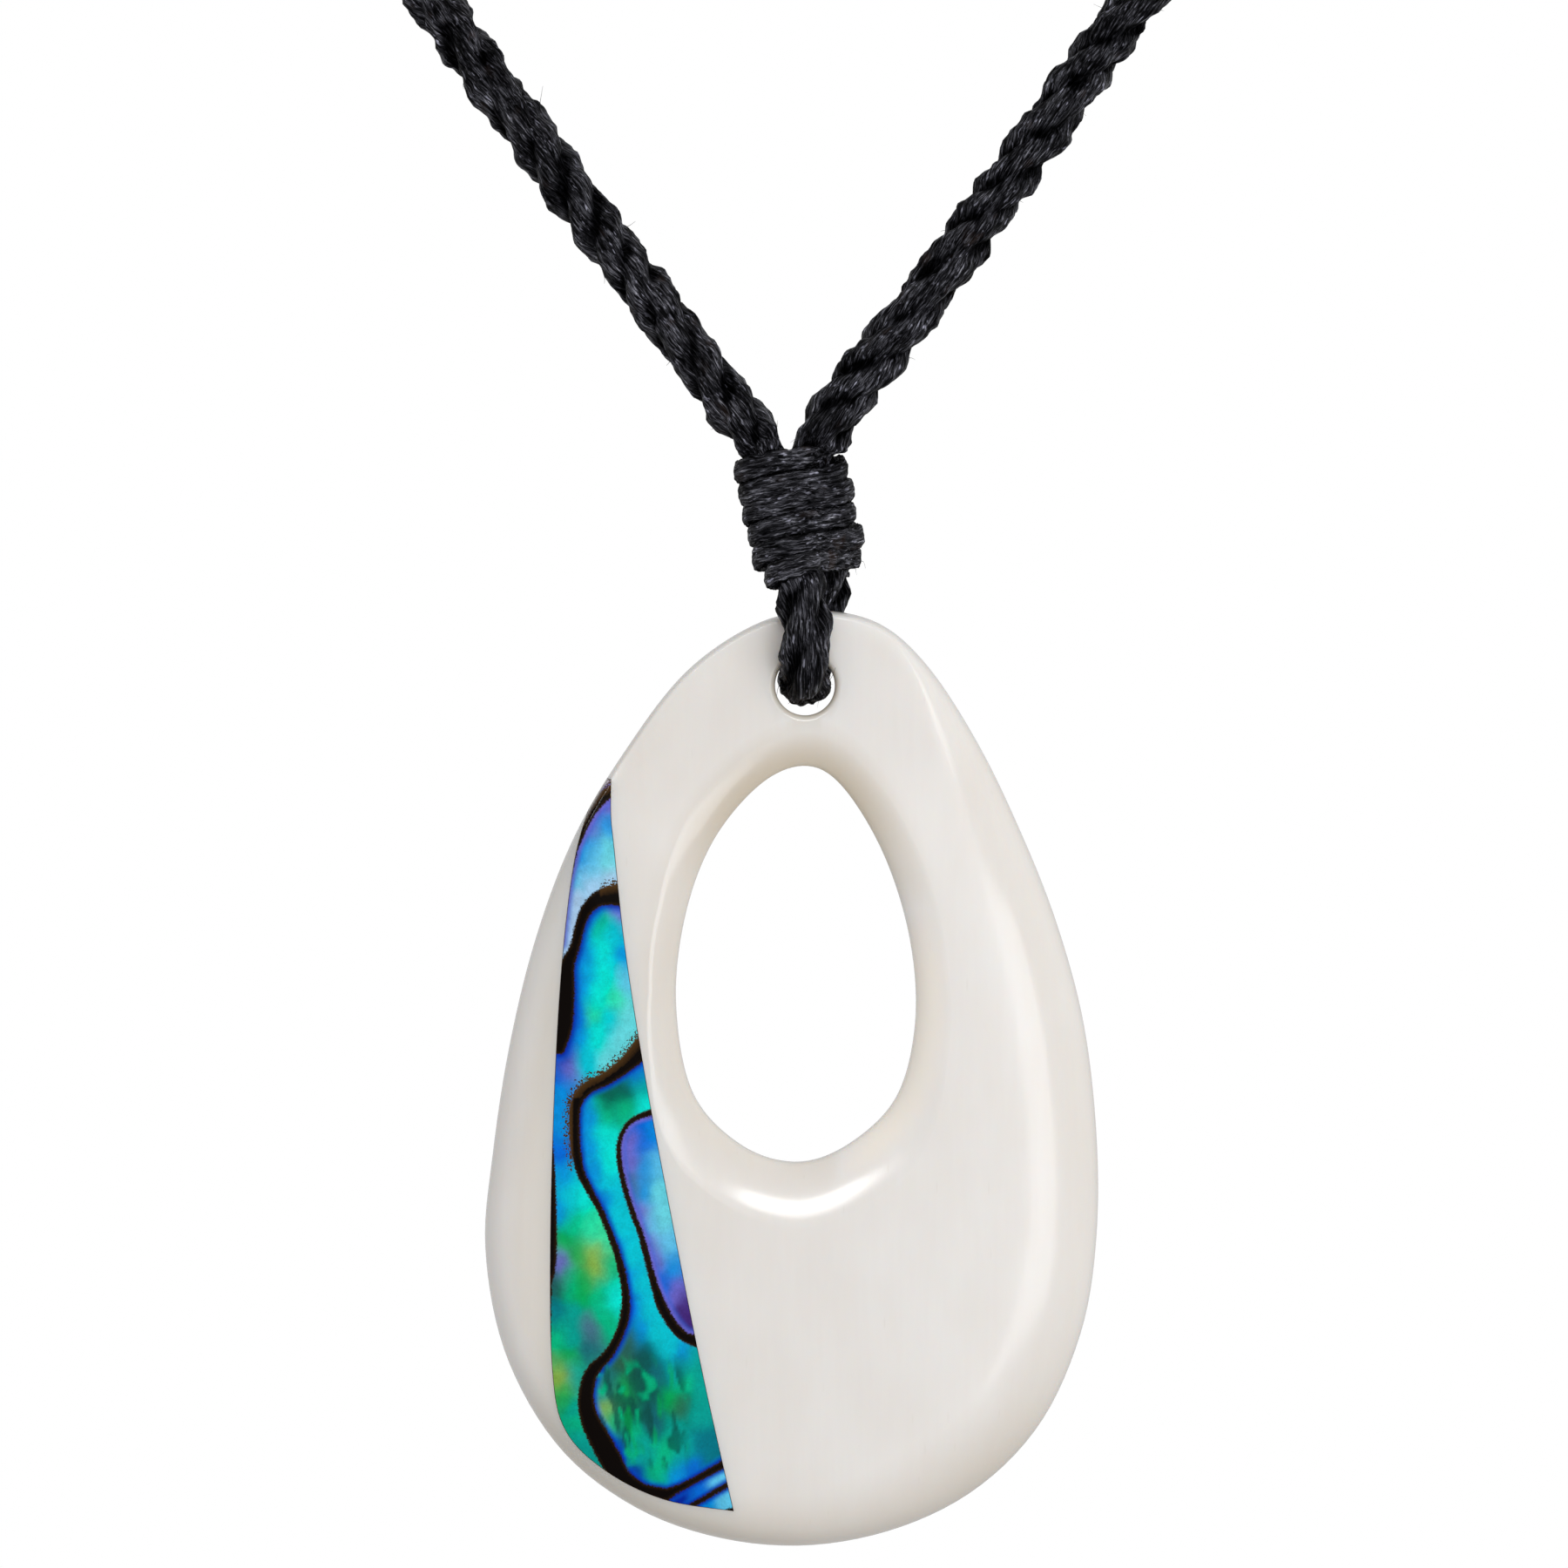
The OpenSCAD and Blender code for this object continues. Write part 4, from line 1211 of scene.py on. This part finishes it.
def waxed_fibre(name, dark, light, fibre):
    """Waxed cotton: near black, with fibres along each yarn and small bright glints painted on
    them, and painted shade that keeps the grooves darkest. fibre is how wide and how long a fibre
    shows, in millimetres."""
    material, tree = new_material(name)
    straight = add(tree, "ShaderNodeAttribute", attribute_name="straight").outputs["Vector"]
    groove = add(tree, "ShaderNodeAttribute", attribute_name="groove").outputs["Fac"]
    # The coordinates are millimetres along and across the cord, as if it were pulled straight.
    # Each texture has the width and length of what it draws, a starting point and its settings.
    textures = {
        "fibres": (fibre, (0, 0, 0), {"Detail": 4, "Roughness": 0.7, "Distortion": 0.7}),
        "shine": ((0.17, 0.5), (7.3, 2.1, 4.4), {"Detail": 1}),
        "wax": ((1.1, 1.6), (0, 0, 0), {"Detail": 2}),
        "patch": ((0.8, 1.3), (3.1, 8.2, 1.7), {"Detail": 2}),
    }
    drawn = {}
    for label, ((wide, long), start, settings) in textures.items():
        lie = add(tree, "ShaderNodeMapping",
                  {"Vector": straight, "Location": start,
                   "Scale": (1 / wide, 1 / wide, 1 / long)})
        drawn[label] = add(tree, "ShaderNodeTexNoise",
                           {"Vector": lie.outputs["Vector"], "Scale": 1, **settings})
    fibres, shine, wax, patch = (node.outputs["Fac"] for node in drawn.values())
    # The brightest fibres of this ramp are painted glints; the lower stops are the fibres' own
    # tone.
    tone = add(tree, "ShaderNodeValToRGB", {"Fac": fibres},
               [(0.4, "#010101"), (0.52, dark), (0.64, light), (0.72, "#B4B4BE")])
    # Wax lies on some yarns and has worn off others, which show a brown cast.
    worn = add(tree, "ShaderNodeMapRange",
               {"Value": wax, "From Min": 0.62, "From Max": 0.74, "To Max": 0.45})
    browned = add(tree, "ShaderNodeMix",
                  {0: worn.outputs["Result"], 6: tone.outputs["Color"],
                   7: (*linear("#33241C"), 1)}, data_type="RGBA")
    # Painted glints: small bright bluish streaks mixed into the colour.
    glint = add(tree, "ShaderNodeMapRange",
                {"Value": shine, "From Min": 0.65, "From Max": 0.75, "To Max": 0.9})
    with_painted_glints = add(tree, "ShaderNodeMix",
                   {0: glint.outputs["Result"], 6: browned.outputs[2],
                    7: (*linear("#9A9AAA"), 1)}, data_type="RGBA")
    # Painted shade: darkest deep in the grooves between strands and at the seams of wound thread.
    open_shade = add(tree, "ShaderNodeMapRange",
                     {"Value": groove, "From Min": 0.2, "From Max": 0.85, "To Min": 1,
                      "To Max": 0.1})
    patchy = add(tree, "ShaderNodeMapRange",
                 {"Value": patch, "From Min": 0.35, "From Max": 0.65, "To Min": 0.35,
                  "To Max": 1.5})
    # Painted groove shade, times the patches' own darker and lighter tone.
    shade = add(tree, "ShaderNodeMath",
                {0: open_shade.outputs["Result"], 1: patchy.outputs["Result"]},
                operation="MULTIPLY")
    colour = add(tree, "ShaderNodeMix",
                 {0: 1.0, 6: with_painted_glints.outputs[2], 7: shade.outputs["Value"]},
                 data_type="RGBA", blend_type="MULTIPLY")
    rough = add(tree, "ShaderNodeMapRange",
                {"Value": wax, "From Min": 0.35, "From Max": 0.65, "To Min": 0.4,
                 "To Max": 0.65})
    bump = add(tree, "ShaderNodeBump",
               {"Height": fibres, "Strength": 1, "Distance": 0.00012})
    bare = add(tree, "ShaderNodeMapRange",
               {"Value": fibres, "From Min": 0.48, "From Max": 0.68, "To Min": 0.06,
                "To Max": 0.8})
    sheen = add(tree, "ShaderNodeMath", {0: bare.outputs["Result"], 1: shade.outputs["Value"]},
                operation="MULTIPLY")
    shader = add(tree, "ShaderNodeBsdfPrincipled",
                 {"Base Color": colour.outputs[2], "Roughness": rough.outputs["Result"],
                  "Normal": bump.outputs["Normal"],
                  "Specular IOR Level": sheen.outputs["Value"]})
    add(tree, "ShaderNodeOutputMaterial", {"Surface": shader.outputs["BSDF"]})
    return material


# Painted shade: the rims of the bone's openings and edges are painted a shade darker, by these
# shares, over these reaches in millimetres: round the eye, from its foot to its top; round the
# cord hole; along the drop's foot; and along its right edge.
EYE_TINT = (0.3, 1)
EYE_TINT_REACH = 2.6
HOLE_TINT = 0.8
HOLE_TINT_REACH = 0.45
FOOT_TINT = 0.45
FOOT_TINT_REACH = 4
RIGHT_TINT = 0.15
RIGHT_TINT_REACH = (1.5, 3.5)
# Painted shade also darkens the face left of the shell, away from its edge, and the rest of the
# left half a little.
LEFT_TINT = 0.32
LEFT_TINT_FROM = (0.8, 2)
FACE_TINT = 0.2
# Painted light: the thin rim at the upper right of the eye is painted a shade lighter instead.
EYE_GLOW = 0.8
EYE_GLOW_REACH = (0.6, 2.1)


def paint_shade_and_glow(drop):
    """Marks how much painted shade darkens the bone at each point, most of all above the eye, or,
    below 0, how much painted light lightens it."""
    local = points_of(drop) / MM - HOLE
    x, z = local[:, 0], local[:, 2]
    from_eye, from_edge = (
        np.min([np.hypot(x - a, z - b) for a, b in curve_through(outline, 8, closed=True)], axis=0)
        for outline in (EYE_OUTLINE, DROP_OUTLINE))
    above = smooth(-12, -5, z)
    right = smooth(1, 4, x) * (1 - smooth(-16, -10, z))
    least, most = EYE_TINT
    tint = (least + (most - least) * above) * (1 - right)
    tint = tint * (1 - smooth(0, EYE_TINT_REACH, from_eye))
    tint -= EYE_GLOW * right * (1 - smooth(*EYE_GLOW_REACH, from_eye))
    tint += HOLE_TINT * (1 - smooth(CORD_HOLE_R, CORD_HOLE_R + HOLE_TINT_REACH, np.hypot(x, z)))
    tint += FOOT_TINT * (1 - smooth(0, FOOT_TINT_REACH, from_edge)) * (1 - smooth(-43, -34, z))
    tint += RIGHT_TINT * (1 - smooth(*RIGHT_TINT_REACH, from_edge)) * smooth(5, 10, x)
    tint += LEFT_TINT * (1 - smooth(-14, -11, x)) * smooth(*LEFT_TINT_FROM, from_edge)
    tint += FACE_TINT * (1 - smooth(-17, 4, x)) * smooth(-15, -13, x)
    add_field(drop, "painted_shade_glow", np.clip(tint, -1, 1))


def dress(piece, material, body, slot, *nodes):
    piece.data.materials.clear()
    piece.data.materials.append(material)
    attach(piece, body)
    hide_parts(*nodes)


cord = make_neck_cord()
lashing = make_lashing()
whipping = make_nape_whipping()
blank = make_bone_blank("bone_blank")
shell = make_shell_inlay(blank)
bpy.data.objects.remove(blank)
drop = make_bone_drop()
# Painted shade and painted light are stored on the bone for its colour.
paint_shade_and_glow(drop)

cord_finish = waxed_fibre("waxed_cotton_cord", "#1C1C21", "#62626C", (0.09, 0.8))
thread_finish = waxed_fibre("waxed_thread", "#27272C", "#666670", (0.09, 0.8))
dress(drop, polished_bone(), "drop", "bone", "bone_pendant")
dress(shell, polished_shell(), "drop", "shell", "shell_inlay")
dress(cord, cord_finish, "loop", "cord", "neck_cord")
dress(lashing, thread_finish, "loop", "thread", "lashing")
dress(whipping, thread_finish, "loop", "thread", "nape_whipping")

# Studio: the photograph shows the necklace alone on white, so there is no floor.


def add_world(front, mirrored, behind):
    """A white surround, brightest behind the necklace and above it to the right. The front is
    dimmer, and dimmest where polished faces mirror it: mirrored is the strength they show."""
    world = bpy.data.worlds.new("studio_world")
    bpy.context.scene.world = world
    world.use_nodes = True
    tree = world.node_tree
    tree.nodes.clear()
    rays = add(tree, "ShaderNodeLightPath").outputs
    lit = add(tree, "ShaderNodeMapRange",
              {"Value": rays["Is Glossy Ray"], "To Min": front, "To Max": mirrored})
    way = add(tree, "ShaderNodeTexCoord").outputs["Generated"]
    depth = add(tree, "ShaderNodeVectorMath", {0: way, 1: (0.08, 0.9, 0.4)},
                operation="DOT_PRODUCT").outputs["Value"]
    around = add(tree, "ShaderNodeMapRange",
                 {"Value": depth, "From Min": -0.6, "From Max": 0.45,
                  "To Min": lit.outputs["Result"], "To Max": behind},
                 interpolation_type="SMOOTHSTEP")
    level = add(tree, "ShaderNodeMapRange",
                {"Value": rays["Is Camera Ray"], "To Min": around.outputs["Result"], "To Max": 1})
    light = add(tree, "ShaderNodeBackground",
                {"Color": (1, 1, 1, 1), "Strength": level.outputs["Result"]})
    add(tree, "ShaderNodeOutputWorld", {"Surface": light.outputs["Background"]})


def add_soft_box(name, azimuth, elevation, distance, width, height, power, mirrored=True):
    """A soft box that faces the drop. Azimuth 0 is in front of it and 90 to the right."""
    a, e = math.radians(azimuth), math.radians(elevation)
    way = Vector((math.sin(a) * math.cos(e), -math.cos(a) * math.cos(e), math.sin(e)))
    light = bpy.data.lights.new(name, "AREA")
    light.shape = "RECTANGLE"
    light.size = width
    light.size_y = height
    light.energy = power
    box = add_object(name, light)
    box.location = in_metres(VIEW_CENTRE) + way * distance
    box.rotation_euler = (-way).to_track_quat("-Z", "Y").to_euler()
    box.visible_camera = False
    box.visible_glossy = mirrored


add_world(front=0.43, mirrored=0.05, behind=0.63)
add_soft_box("key_box", azimuth=32, elevation=5, distance=0.2, width=0.16, height=0.16,
             power=0.13, mirrored=False)
add_soft_box("top_box", azimuth=-1.5, elevation=17.2, distance=0.9, width=0.35, height=0.095,
             power=1.27)
add_soft_box("right_box", azimuth=20, elevation=0, distance=0.9, width=0.3, height=0.36,
             power=0.62)
add_soft_box("right_glow", azimuth=17.5, elevation=0, distance=0.95, width=0.5, height=0.36,
             power=0.42)

bpy.context.scene.view_settings.view_transform = "Standard"
